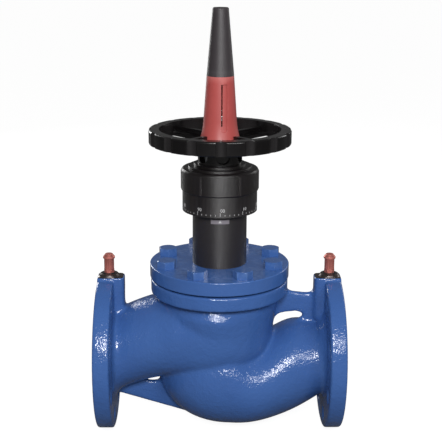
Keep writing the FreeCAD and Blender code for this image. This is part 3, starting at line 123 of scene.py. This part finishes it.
class Shader:
    """One surface finish as a node tree on a Principled surface."""

    def __init__(self, name):
        self.material = bpy.data.materials.new(name)
        self.material.use_nodes = True
        self.tree = self.material.node_tree
        self.surface = self.tree.nodes["Principled BSDF"]
        self.place = self.node("ShaderNodeTexCoord", {}, {}, "Object")

    def node(self, kind, settings, sockets, output=0):
        """Adds a node: its settings first, then the values or links of its sockets."""
        made = self.tree.nodes.new(kind)
        for key, value in settings.items():
            setattr(made, key, value)
        for key, value in sockets.items():
            if isinstance(value, Signal):
                self.tree.links.new(value.socket, made.inputs[key])
            else:
                made.inputs[key].default_value = value
        return Signal(self, made.outputs[output])

    def finish(self, **sockets):
        """Sets the surface's own sockets; a name's underscores stand for spaces."""
        for key, value in sockets.items():
            socket = self.surface.inputs[key.replace("_", " ")]
            if isinstance(value, Signal):
                self.tree.links.new(value.socket, socket)
            else:
                socket.default_value = value
        return self.material

    def noise(self, size, detail=3.0, stretch=(1, 1, 1)):
        """Cloudy pattern from 0 to 1 with patches of one size in metres, stretched along the axes."""
        scaled = self.node("ShaderNodeVectorMath", {"operation": "MULTIPLY"},
                           {0: self.place, 1: tuple(1 / s for s in stretch)})
        return self.node("ShaderNodeTexNoise", {}, {"Vector": scaled, "Scale": 1 / size, "Detail": detail})

    def specks(self, size, level, softness=0.05):
        """Scattered soft dots of one size: 1 in a dot, 0 beside it."""
        cells = self.node("ShaderNodeTexVoronoi", {"feature": "F1"},
                          {"Vector": self.place, "Scale": 1 / size}, "Distance")
        return 1 - cells.above(level, softness)

    def mix(self, share, first, second):
        """Colour between two colours."""
        blend = self.tree.nodes.new("ShaderNodeMix")
        blend.data_type = "RGBA"
        factor, colour_a, colour_b = blend.inputs[0], blend.inputs[6], blend.inputs[7]
        for socket, value in ((factor, share), (colour_a, first), (colour_b, second)):
            if isinstance(value, Signal):
                self.tree.links.new(value.socket, socket)
            else:
                socket.default_value = value
        return Signal(self, blend.outputs[2])

    def edges(self, low=0.51, high=0.56):
        """1 on outward edges, 0 on flats."""
        sharp = self.node("ShaderNodeNewGeometry", {}, {}, "Pointiness")
        return self.node("ShaderNodeMapRange", {}, {"Value": sharp, "From Min": low, "From Max": high})

    def along(self, axis):
        """Coordinate of the place on the object along X, Y or Z."""
        return self.node("ShaderNodeSeparateXYZ", {}, {"Vector": self.place}, axis)

    def rings(self, spacing, distortion, detail):
        """Fine rings round the upright axis, 0 to 1 up and down, as a turning tool leaves them."""
        return self.node("ShaderNodeTexWave", {"bands_direction": "Z"},
                         {"Vector": self.place, "Scale": 1 / spacing, "Distortion": distortion,
                          "Detail": detail}, "Fac")

    def bumps(self, height, depth, round_edges=0.0):
        """Normal of a relief whose depth is in metres, with its edges rounded by a radius if one is given."""
        sockets = {"Height": height, "Strength": 1.0, "Distance": depth}
        if round_edges:
            sockets["Normal"] = self.node("ShaderNodeBevel", {"samples": 6}, {"Radius": round_edges})
        return self.node("ShaderNodeBump", {}, sockets)


def colour(red, green, blue):
    """Linear colour from the three screen values, 0 to 255."""
    linear = []
    for value in (red, green, blue):
        share = value / 255
        linear.append(share / 12.92 if share <= 0.04045 else ((share + 0.055) / 1.055) ** 2.4)
    return (*linear, 1.0)


# Finishes

BARE_END = 0.4 * MM
SOFT_EDGE = 0.15 * MM
BOSS_TOP = 113.5 * MM
BOSS_MARGIN = 0.5 * MM
FACING_PITCH = 0.9 * MM
ENAMEL_RELIEF = 0.28 * MM
ENAMEL_EDGE = 0.6 * MM


def blue_enamel(name, cast, coat, machined=False):
    """Gloss enamel over a casting: uneven skin, small pits, paler worn edges; machined faces may be bare, and
    the bosses' bare tops carry painted shade and painted dark reflection.
    """
    s = Shader(name)
    base = s.mix(s.noise(60 * MM, 2.0), colour(58, 94, 158), colour(66, 104, 168))
    worn = s.mix(s.edges(0.53, 0.60) * s.noise(6 * MM).above(0.5, 0.15) * 0.35, base, colour(110, 142, 196))
    grain = s.noise(2.2 * MM, 0.0) * 1.0 + s.noise(7 * MM, 0.0) * 1.2 + s.noise(30 * MM, 1.0) * 1.6
    pits = s.specks(9 * MM, 0.05, 0.02)
    relief = grain * cast - pits * 0.4
    rough = 0.14 + s.noise(20 * MM) * 0.10 + pits * 0.2
    if not machined:
        return s.finish(Base_Color=worn, Roughness=rough, Coat_Weight=coat, Coat_Roughness=0.14,
                        Normal=s.bumps(relief, ENAMEL_RELIEF, ENAMEL_EDGE))
    ends, bosses = machined_places(s)
    bare = ends + bosses
    pale_iron = s.mix(s.noise(5 * MM, 4.0), colour(132, 130, 128), colour(158, 156, 153))
    # Bare iron of the bosses' tops, painted far darker than the same iron on the flange faces: painted shade
    # and painted dark reflection
    iron_with_painted_shade = s.mix(s.noise(5 * MM, 4.0), colour(62, 55, 54), colour(98, 91, 90))
    metal = s.mix(bosses, pale_iron, iron_with_painted_shade)
    from_port = s.node("ShaderNodeMath", {"operation": "SQRT"},
                       {0: s.along("Y") * s.along("Y") + s.along("Z") * s.along("Z")})
    turned_lines = s.node("ShaderNodeMath", {"operation": "SINE"}, {0: from_port * (TURN / FACING_PITCH)})
    skin_height = relief * (1 - bare) + turned_lines * bare * 0.12
    return s.finish(Base_Color=s.mix(bare, worn, metal), Roughness=rough + bare * 0.08,
                    Metallic=ends * 0.45 + bosses * 0.7, Coat_Weight=coat, Coat_Roughness=0.14,
                    Normal=s.bumps(skin_height, ENAMEL_RELIEF, ENAMEL_EDGE))


def machined_places(s):
    """1 on both flanges' sealing faces, and 1 on top of the test points' bosses; each is 0 elsewhere."""
    x = s.along("X")
    ends = (1 - x.above(BARE_END, SOFT_EDGE)) + x.above(INLET_X - BARE_END, SOFT_EDGE)
    return ends, s.along("Z").above(BOSS_TOP - BOSS_MARGIN, SOFT_EDGE)


def black_coat(name, tone, low_rough, high_rough, gloss, streak=(1, 1, 1), ring_depth=0.0):
    """Black moulded or coated skin: fine grain, slightly rubbed edges and, where it is turned, fine rings."""
    s = Shader(name)
    patches = s.noise(14 * MM, 3.0, streak)
    base = s.mix(patches, colour(*(t - 3 for t in tone)), colour(*(t + 4 for t in tone)))
    rubbed = s.mix(s.edges(0.52, 0.60) * 0.4, base, colour(*(t + 42 for t in tone)))
    rough = low_rough + s.noise(5 * MM, 4.0, streak) * (high_rough - low_rough)
    relief = s.noise(0.9 * MM, 2.0) + s.rings(2.2 * MM, 0.6, 1.0) * ring_depth
    return s.finish(Base_Color=rubbed, Roughness=rough, IOR=1.6, Coat_Weight=gloss, Coat_Roughness=0.16,
                    Normal=s.bumps(relief, 0.05 * MM, 0.5 * MM))


def red_moulding():
    """Dull red moulding, paler where it is rubbed."""
    s = Shader("red_moulding")
    base = s.mix(s.noise(25 * MM, 3.0), colour(172, 72, 70), colour(184, 86, 82))
    rubbed = s.mix(s.edges(0.52, 0.60) * 0.5, base, colour(214, 130, 126))
    rough = 0.36 + s.noise(6 * MM, 4.0) * 0.16
    return s.finish(Base_Color=rubbed, Roughness=rough,
                    Normal=s.bumps(s.noise(1.1 * MM, 2.0), 0.05 * MM, 0.4 * MM))


def turned_metal(name, tone, rough, metallic=1.0, tarnish=0.0):
    """Turned metal: fine rings round the upright axis, patches of tarnish."""
    s = Shader(name)
    rings = s.rings(3.0 * MM, 1.2, 2.0)
    patch = s.noise(5 * MM, 4.0)
    dull = colour(*(t * 0.6 for t in tone))
    base = s.mix(patch * (0.35 + tarnish), colour(*tone), dull)
    bright = s.mix(s.edges() * 0.5, base, colour(*(min(255, t * 1.25) for t in tone)))
    return s.finish(Base_Color=bright, Metallic=metallic, Roughness=rough + patch * 0.15 + rings * 0.04,
                    Normal=s.bumps(rings * 0.5 + patch, 0.03 * MM, 0.3 * MM))


def rubber_sheet(name, tone):
    """Dull dark rubber or gasket sheet."""
    s = Shader(name)
    base = s.mix(s.noise(4 * MM, 4.0), colour(*tone), colour(*(t + 14 for t in tone)))
    return s.finish(Base_Color=base, Roughness=0.75 + s.noise(2 * MM) * 0.15,
                    Normal=s.bumps(s.noise(0.6 * MM, 3.0), 0.04 * MM))


def white_print():
    """Printed white marks, slightly worn."""
    s = Shader("white_print")
    base = s.mix(s.noise(2 * MM, 4.0), colour(176, 176, 178), colour(214, 214, 214))
    return s.finish(Base_Color=base, Roughness=0.5 + s.noise(1 * MM) * 0.1)


FINISHES = {
    "blue_enamel": blue_enamel("blue_enamel", 0.7, 0.3),
    "casting_enamel": blue_enamel("casting_enamel", 1.4, 0.08, True),
    "blue_screws": blue_enamel("blue_screws", 0.4, 0.4),
    "black_metal": black_coat("black_metal", (18, 14, 15), 0.32, 0.40, 0.1, (1, 1, 4), 1.6),
    "black_moulding": black_coat("black_moulding", (20, 16, 17), 0.32, 0.38, 0.1, ring_depth=1.8),
    "wheel_moulding": black_coat("wheel_moulding", (9, 7, 8), 0.20, 0.30, 0.1),
    "cap_moulding": black_coat("cap_moulding", (58, 53, 56), 0.42, 0.50, 0.0, (1, 1, 5), 1.2),
    "red_moulding": red_moulding(),
    "plate_metal": turned_metal("plate_metal", (128, 123, 130), 0.42, 0.35),
    "test_brass": turned_metal("test_brass", (206, 124, 114), 0.32, 0.6, 0.25),
    "bronze": turned_metal("bronze", (176, 140, 92), 0.30),
    "stainless": turned_metal("stainless", (196, 197, 199), 0.24),
    "oiled_steel": turned_metal("oiled_steel", (84, 80, 76), 0.46),
    "zinc_steel": turned_metal("zinc_steel", (176, 180, 184), 0.34),
    "seal_rubber": rubber_sheet("seal_rubber", (24, 24, 25)),
    "gasket_sheet": rubber_sheet("gasket_sheet", (30, 29, 30)),
    "white_print": white_print(),
}


def dress_solids():
    """Gives every solid the finish of its slot."""
    slots = {row["node"]: row["material_slot"] for row in frame["record"]["subparts"]}
    for node, solid in NODES.items():
        solid.data.materials.clear()
        solid.data.materials.append(FINISHES[slots[node]])


dress_solids()


# Surfaces


def add_piece(name, mesh, body, finish, *replaced):
    """Puts a mesh in the scene as a piece that rides on a body and may stand for solids."""
    piece = bpy.data.objects.new(name, mesh)
    bpy.context.scene.collection.objects.link(piece)
    mesh.materials.clear()
    mesh.materials.append(FINISHES[finish])
    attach(piece, body)
    if replaced:
        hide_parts(*replaced)
    return piece


SHARP_EDGE = 35.0
JOIN_WITHIN = 0.0001 * MM


def skin(name, points, faces):
    """Mesh from points and four-sided faces: closed at its poles, outward, smooth between sharp edges."""
    mesh = bpy.data.meshes.new(name)
    mesh.from_pydata(points.tolist(), [], faces.tolist())
    work = bmesh.new()
    work.from_mesh(mesh)
    bmesh.ops.remove_doubles(work, verts=work.verts, dist=JOIN_WITHIN)
    bmesh.ops.recalc_face_normals(work, faces=work.faces)
    if work.calc_volume(signed=True) < 0:
        bmesh.ops.reverse_faces(work, faces=work.faces)
    work.to_mesh(mesh)
    work.free()
    mesh.shade_smooth()
    mesh.set_sharp_from_angle(angle=math.radians(SHARP_EDGE))
    return mesh


def wrapped_faces(rows, columns):
    """Faces of a grid that is joined to itself along its rows and its columns."""
    row = np.arange(rows)[:, None]
    column = np.arange(columns)[None, :]
    next_row = (row + 1) % rows
    next_column = (column + 1) % columns
    corners = (row * columns + column, row * columns + next_column,
               next_row * columns + next_column, next_row * columns + column)
    return np.stack([c.ravel() for c in corners], axis=1)


ARC_STEPS = 5


def rounded(corners):
    """Closed outline through (radius, height, fillet) corners: a corner with a fillet gives way to an arc
    that touches both of its sides."""
    places = np.array(corners, float)
    outline = []
    for index, (x, y, fillet) in enumerate(places):
        here = np.array((x, y))
        if fillet == 0:
            outline.append(here)
            continue
        back = places[index - 1, :2] - here
        ahead = places[(index + 1) % len(places), :2] - here
        back /= np.linalg.norm(back)
        ahead /= np.linalg.norm(ahead)
        half = math.acos(np.clip(back @ ahead, -1, 1)) / 2
        inward = (back + ahead) / np.linalg.norm(back + ahead)
        centre = here + inward * fillet / math.sin(half)
        first = here + back * fillet / math.tan(half) - centre
        last = here + ahead * fillet / math.tan(half) - centre
        for share in np.linspace(0, 1, ARC_STEPS + 1):
            spoke = first * (1 - share) + last * share
            outline.append(centre + spoke * fillet / np.linalg.norm(spoke))
    return np.array(outline)


def divided(outline, step):
    """The outline with its long sides cut into equal parts no longer than the step."""
    parts = []
    for here, ahead in zip(outline, np.roll(outline, -1, axis=0)):
        count = max(1, math.ceil(np.linalg.norm(ahead - here) / step))
        shares = np.arange(count)[:, None] / count
        parts.append(here * (1 - shares) + ahead * shares)
    return np.concatenate(parts)


def turned(name, outline, segments, cut):
    """Outline of (radius, height) points carried round the stem axis; cut(angle, radius, height) gives
    the radius that the form really has there."""
    angle = np.arange(segments)[None, :] * TURN / segments
    radius = np.repeat(outline[:, :1], segments, axis=1)
    height = np.repeat(outline[:, 1:], segments, axis=1)
    radius = cut(angle + 0 * radius, radius, height)
    x = STEM_X + radius * np.cos(angle)
    y = radius * np.sin(angle)
    points = np.stack([x, y, height], axis=2).reshape(-1, 3)
    return skin(name, points, wrapped_faces(len(outline), segments))


def soft_step(value, low, high):
    """0 below low, 1 above high, a smooth curve between."""
    share = np.clip((value - low) / (high - low), 0, 1)
    return share * share * (3 - 2 * share)


# Casting: the body's solid as one skin with soft cast edges

CAST_VOXEL = 1.75 * MM
CAST_ROUNDS = 22
MACHINED_SHARE = 0.10
FLANGE_BACK = 26 * MM
BODY_FLANGE_Z = 92.4 * MM
BLEND_ON_FLANGE = 2 * MM
BLEND_ON_BODY = 3 * MM
SEAT_ROOM_R = 60 * MM
SEAT_ROOM_HALF = 14 * MM
CAST_TRIANGLES = 180000
SHOULDER_X = STEM_X - 30 * MM
SHOULDER_HALF = 60 * MM
SHOULDER_Z = 79 * MM
SHOULDER_BOW = 8 * MM
SHOULDER_STEP = 7 * MM
SHOULDER_FADE = 62 * MM
SHOULDER_PROUD = 4.6 * MM
SHOULDER_OUTSIDE = 35 * MM


def remeshed(node, voxel):
    """A solid's mesh with its loose triangles joined, then laid out again on an even grid of cells."""
    mesh = NODES[node].data.copy()
    work = bmesh.new()
    work.from_mesh(mesh)
    bmesh.ops.remove_doubles(work, verts=work.verts, dist=10 * JOIN_WITHIN)
    work.to_mesh(mesh)
    work.free()
    helper = bpy.data.objects.new("helper", mesh)
    bpy.context.scene.collection.objects.link(helper)
    cells = helper.modifiers.new("cells", "REMESH")
    cells.mode = "VOXEL"
    cells.voxel_size = voxel
    bpy.context.view_layer.update()
    shown = helper.evaluated_get(bpy.context.evaluated_depsgraph_get())
    even = bpy.data.meshes.new_from_object(shown)
    bpy.data.objects.remove(helper)
    return even


def facing(mesh):
    """Outward directions at a mesh's points."""
    normals = np.empty(len(mesh.vertices) * 3)
    mesh.vertices.foreach_get("normal", normals)
    return normals.reshape(-1, 3)


def swollen(points, normals):
    """Outer skin of the front and back pushed out under a bowed line below the flange: there the chamber
    stands proud of the flange's neck, as a soft step across and a slow fade downward."""
    x, y, z = points.T
    off = (x - SHOULDER_X) / SHOULDER_HALF
    line = SHOULDER_Z - SHOULDER_BOW * off ** 2
    across = 1 - soft_step(np.abs(off), 0.5, 1.0)
    step = 1 - soft_step(z, line - SHOULDER_STEP / 2, line + SHOULDER_STEP / 2)
    fade = soft_step(z, line - SHOULDER_FADE, line - SHOULDER_STEP)
    outer = (y * normals[:, 1] > 0) & (np.abs(y) > SHOULDER_OUTSIDE)
    push = SHOULDER_PROUD * across * step * fade * outer
    return points + np.stack([0 * x, push * np.sign(y), 0 * z], axis=1)


def relaxed(points, edges, share, rounds):
    """Points drawn halfway to the mean of their neighbours, round after round, each by its own share."""
    count = np.bincount(edges.ravel(), minlength=len(points))[:, None]
    for _ in range(rounds):
        mean = np.empty_like(points)
        for axis in range(3):
            mean[:, axis] = np.bincount(edges[:, 0], points[edges[:, 1], axis], len(points))
            mean[:, axis] += np.bincount(edges[:, 1], points[edges[:, 0], axis], len(points))
        points = points + (mean / count - points) * 0.5 * share[:, None]
    return points


def cast_share(points):
    """How freely each point may round off: 1 on cast skin, little on flanges and bosses, none at the seat."""
    x, y, z = points.T
    between = np.ones_like(x)
    for beyond in (x - FLANGE_BACK, INLET_X - x - FLANGE_BACK, BODY_FLANGE_Z - z):
        between *= soft_step(beyond, -BLEND_ON_FLANGE, BLEND_ON_BODY)
    share = MACHINED_SHARE + (1 - MACHINED_SHARE) * between
    at_seat = (np.hypot(x - STEM_X, y) < SEAT_ROOM_R) & (np.abs(z) < SEAT_ROOM_HALF)
    return np.where(at_seat, 0.0, share)


def valve_casting():
    """The body casting with its edges and inner corners softened as a mould leaves them. Each point is drawn
    to the mean of its neighbours, round after round, as far as its share allows."""
    mesh = remeshed("valve_body", CAST_VOXEL)
    points = np.empty(len(mesh.vertices) * 3)
    mesh.vertices.foreach_get("co", points)
    points = points.reshape(-1, 3)
    edges = np.empty(len(mesh.edges) * 2, dtype=np.int64)
    mesh.edges.foreach_get("vertices", edges)
    points = swollen(points, facing(mesh))
    points = relaxed(points, edges.reshape(-1, 2), cast_share(points), CAST_ROUNDS)
    mesh.vertices.foreach_set("co", points.ravel())
    mesh.update()
    mesh.shade_smooth()
    piece = add_piece("valve_casting", mesh, "valve", "casting_enamel", "valve_body")
    thin = piece.modifiers.new("thin", "DECIMATE")
    thin.ratio = min(1.0, CAST_TRIANGLES / (2 * len(mesh.polygons)))
    return piece


valve_casting()


# Stem with its left-hand thread

STEM_R = 10 * MM
STEM_FOOT_R = 8 * MM
STOP_SCREW_R = 4 * MM
THREAD_PITCH = 5 * MM
THREAD_DEPTH = 1.6 * MM
THREAD_FLOOR_HALF = 0.12
THREAD_FLANK = 0.16
THREAD_RUN_IN = 3 * MM
THREAD_RUN_OUT = 2 * MM
THREAD_BELOW_TOP = 112 * MM
TOP_HOLE_DEPTH = 36 * MM
STEM_MARGIN = 0.5 * MM
STEM_ROUND = 1.0 * MM
STEM_STEP = 0.6 * MM
STEM_SEGMENTS = 48


def lowest_beyond(node, radius):
    """Lowest height among a solid's points that lie at least that far from the stem axis."""
    points = np.array([v.co for v in NODES[node].data.vertices])
    far = np.hypot(points[:, 0] - STEM_X, points[:, 1]) > radius
    return float(points[far, 2].min())


def threaded_stem():
    """Stem as a turned rod with a foot and a blind hole in its top; on its upper part the radius falls by
    the thread's depth along a left-hand helix, a trapezium wave of the height plus the angle."""
    low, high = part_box("stem")
    shoulder = lowest_beyond("stem", STEM_R - STEM_MARGIN)
    start = high.z - THREAD_BELOW_TOP

    def cut(angle, radius, height):
        phase = (height / THREAD_PITCH + angle / TURN) % 1.0
        crest = np.clip((np.abs(phase - 0.5) - THREAD_FLOOR_HALF) / THREAD_FLANK, 0, 1)
        within = soft_step(height, start, start + THREAD_RUN_IN)
        within *= 1 - soft_step(height, high.z - THREAD_RUN_OUT, high.z)
        return radius - np.where(radius > STEM_R - STEM_MARGIN, THREAD_DEPTH * (1 - crest) * within, 0.0)

    hole_floor = high.z - TOP_HOLE_DEPTH
    outline = rounded([(0, low.z, 0), (STEM_FOOT_R, low.z, STEM_ROUND), (STEM_FOOT_R, shoulder, 0),
                       (STEM_R, shoulder, 0), (STEM_R, high.z, STEM_ROUND), (STOP_SCREW_R, high.z, 0),
                       (STOP_SCREW_R, hole_floor, 0), (0, hole_floor, 0)])
    return turned("threaded_stem", divided(outline, STEM_STEP), STEM_SEGMENTS, cut)


add_piece("threaded_stem", threaded_stem(), "stem", "oiled_steel", "stem")


# Printed scale on the drum and the pointer on its plate

TO_FRONT = -TURN / 4
DRUM_R = 51.8 * MM
PRINT_THICK = 0.12 * MM
NUMBERS = 10
DIGIT_HEIGHT = 4.6 * MM
DIGIT_SHARE_OF_SIZE = 0.72
DIGIT_BASE = 219.2 * MM
DIGIT_SHIFT = 3.2 * MM
TICKS_TO_A_NUMBER = 5
TICK_WIDTH = 0.6 * MM
TICK_LOW = 213.6 * MM
TICK_LONG = 4.6 * MM
TICK_SHORT = 2.0 * MM
PLATE_R = 38.6 * MM
PLATE_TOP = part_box("index_plate")[1].z
POINTER_WIDTH = 4.6 * MM
POINTER_HEIGHT = 4.4 * MM


def bent_round(flat, radius, angle):
    """Flat shapes in x, y and thickness z, laid round the stem axis: x runs along the circle, y is height."""
    around = angle + flat[:, 0] / radius
    out = radius + flat[:, 2]
    return np.stack([STEM_X + out * np.cos(around), out * np.sin(around), flat[:, 1]], axis=1)


def bar(width, low, high, thick):
    """Eight corners and six faces of a flat upright bar."""
    half = width / 2
    points = np.array([(x, y, z) for z in (-thick, thick) for y in (low, high) for x in (-half, half)])
    faces = np.array([(0, 2, 3, 1), (4, 5, 7, 6), (0, 1, 5, 4), (2, 6, 7, 3), (0, 4, 6, 2), (1, 3, 7, 5)])
    return points, faces


def lettering(words, size):
    """Points and faces of flat text whose middle is at zero."""
    data = bpy.data.curves.new("words", "FONT")
    data.body = words
    data.size = size
    data.align_x = "CENTER"
    data.extrude = PRINT_THICK
    data.resolution_u = 4
    letters = bpy.data.objects.new("words", data)
    bpy.context.scene.collection.objects.link(letters)
    bpy.context.view_layer.update()
    mesh = bpy.data.meshes.new_from_object(letters.evaluated_get(bpy.context.evaluated_depsgraph_get()))
    bpy.data.objects.remove(letters)
    points = np.array([v.co for v in mesh.vertices])
    faces = [tuple(p.vertices) for p in mesh.polygons]
    return points, faces


def pointer():
    """White triangle on the plate that points up at the scale."""
    low = PLATE_TOP - POINTER_HEIGHT
    flat = [(x, y, z) for z in (-PRINT_THICK, PRINT_THICK)
            for x, y in ((-POINTER_WIDTH / 2, low), (POINTER_WIDTH / 2, low), (0, PLATE_TOP - PRINT_THICK))]
    mesh = bpy.data.meshes.new("pointer")
    mesh.from_pydata(bent_round(np.array(flat), PLATE_R, TO_FRONT).tolist(), [],
                     [(0, 2, 1), (3, 4, 5), (0, 1, 4, 3), (1, 2, 5, 4), (2, 0, 3, 5)])
    return mesh


def drum_scale():
    """Ten numbers, a long tick under each and four short ticks between, printed round the drum's skirt."""
    points, faces, used = [], [], 0
    for number in range(NUMBERS):
        angle = TO_FRONT + TURN * number / NUMBERS
        shapes = []
        digits, digit_faces = lettering(f"{number}0", DIGIT_HEIGHT / DIGIT_SHARE_OF_SIZE)
        digits = digits + np.array((DIGIT_SHIFT, DIGIT_BASE, 0))
        shapes.append((digits, digit_faces))
        for minor in range(TICKS_TO_A_NUMBER):
            tick_top = TICK_LOW + (TICK_SHORT if minor else TICK_LONG)
            tick, tick_faces = bar(TICK_WIDTH, TICK_LOW, tick_top, PRINT_THICK)
            tick[:, 0] += DRUM_R * TURN * minor / (NUMBERS * TICKS_TO_A_NUMBER)
            shapes.append((tick, [tuple(f) for f in tick_faces]))
        for flat, flat_faces in shapes:
            points.append(bent_round(flat, DRUM_R, angle))
            faces += [tuple(i + used for i in f) for f in flat_faces]
            used += len(flat)
    mesh = bpy.data.meshes.new("drum_scale")
    mesh.from_pydata(np.concatenate(points).tolist(), [], faces)
    mesh.update()
    return mesh


add_piece("drum_scale", drum_scale(), "handwheel", "white_print")
add_piece("pointer", pointer(), "valve", "white_print")


# Stage: camera, floor and light

WORLD_SEEN = 1.0
WORLD_LIGHT = 0.30
GLOSS_WORLD = 0.12
FLOOR_HALF = 30.0
FLOOR_TONE = 0.15
FLOOR_SEEN = 0.93
FLOOR_LIGHT = 0.0
GLOSS_FLOOR = 0.0
VIEW_DEPTH = 100.0
LAMP_AIM_HEIGHT = 0.15
# Name, place from the foot of the stem axis, width and height, watts: one lamp just above the camera, as the
# photograph's highlights show, one to its right, two behind
LAMPS = (
    ("front_lamp", (-0.05, -1.9, 1.12), (0.5, 0.4), 29.0),
    ("right_front_lamp", (0.85, -1.7, 1.12), (0.6, 0.4), 9.0),
    ("back_left_lamp", (-1.15, 1.75, 0.75), (0.5, 1.1), 13.0),
    ("back_right_lamp", (1.55, 1.35, 0.95), (0.7, 1.0), 6.0),
)


def aim_camera():
    """Camera of the photograph, from its angles."""
    down, yaw, roll = (math.radians(a) for a in (CAMERA_DOWN, CAMERA_YAW, CAMERA_ROLL))
    forward = Vector((math.sin(yaw) * math.cos(down), math.cos(yaw) * math.cos(down), -math.sin(down)))
    level = forward.cross(Vector((0, 0, 1))).normalized()
    upward = level.cross(forward)
    right = level * math.cos(roll) + upward * math.sin(roll)
    upward = right.cross(forward)
    data = bpy.data.cameras.new("photo_view")
    data.lens = LENS
    data.sensor_width = SENSOR_WIDTH
    data.clip_end = VIEW_DEPTH
    camera = bpy.data.objects.new("photo_view", data)
    aimed = Matrix((right, upward, -forward)).transposed().to_4x4()
    x, y, z = CAMERA_FROM_STEM
    camera.matrix_world = Matrix.Translation((STEM_X + x, y, z)) @ aimed
    bpy.context.scene.collection.objects.link(camera)
    bpy.context.scene.camera = camera


def seen_strength(tree, seen, in_gloss, lighting):
    """Strength of a pale surface: one as the camera or a clear body sees it, one in gloss, one as light."""
    rays = tree.nodes.new("ShaderNodeLightPath")

    def between(share, low, high):
        step = tree.nodes.new("ShaderNodeMapRange")
        tree.links.new(rays.outputs[share], step.inputs["Value"])
        for name, value in (("To Min", low), ("To Max", high)):
            if isinstance(value, float):
                step.inputs[name].default_value = value
            else:
                tree.links.new(value, step.inputs[name])
        return step.outputs[0]

    strength = between("Is Glossy Ray", lighting, in_gloss)
    strength = between("Is Transmission Ray", strength, seen)
    return between("Is Camera Ray", strength, seen)


def pale_floor():
    """Plain floor under the flanges, white to the camera, with a soft shadow kept."""
    half, low = FLOOR_HALF, CAD_BOX[0][2]
    corners = [(-half, -half, low), (half, -half, low), (half, half, low), (-half, half, low)]
    mesh = bpy.data.meshes.new("floor")
    mesh.from_pydata(corners, [], [(0, 1, 2, 3)])
    floor = bpy.data.objects.new("floor", mesh)
    bpy.context.scene.collection.objects.link(floor)
    s = Shader("floor")
    s.finish(Base_Color=(FLOOR_TONE, FLOOR_TONE, FLOOR_TONE, 1), Roughness=0.9, Emission_Color=(1, 1, 1, 1))
    strength = seen_strength(s.tree, FLOOR_SEEN, GLOSS_FLOOR, FLOOR_LIGHT)
    s.tree.links.new(strength, s.surface.inputs["Emission Strength"])
    mesh.materials.append(s.material)


def studio_world():
    """Even dim surroundings, white to the camera."""
    world = bpy.data.worlds.new("studio")
    world.use_nodes = True
    tree = world.node_tree
    background = tree.nodes["Background"]
    background.inputs["Color"].default_value = (1, 1, 1, 1)
    tree.links.new(seen_strength(tree, WORLD_SEEN, GLOSS_WORLD, WORLD_LIGHT), background.inputs["Strength"])
    bpy.context.scene.world = world


def soft_lamp(name, from_stem, size, power):
    """Soft lamp that points at the valve's middle."""
    place = Vector(from_stem) + Vector((STEM_X, 0, 0))
    aim = Vector((STEM_X, 0, LAMP_AIM_HEIGHT))
    data = bpy.data.lights.new(name, "AREA")
    data.shape = "RECTANGLE"
    data.size, data.size_y = size
    data.energy = power
    lamp = bpy.data.objects.new(name, data)
    lamp.location = place
    lamp.rotation_euler = (aim - place).to_track_quat("-Z", "Y").to_euler()
    bpy.context.scene.collection.objects.link(lamp)


bpy.context.scene.view_settings.view_transform = "Standard"
aim_camera()
pale_floor()
studio_world()
for lamp_values in LAMPS:
    soft_lamp(*lamp_values)
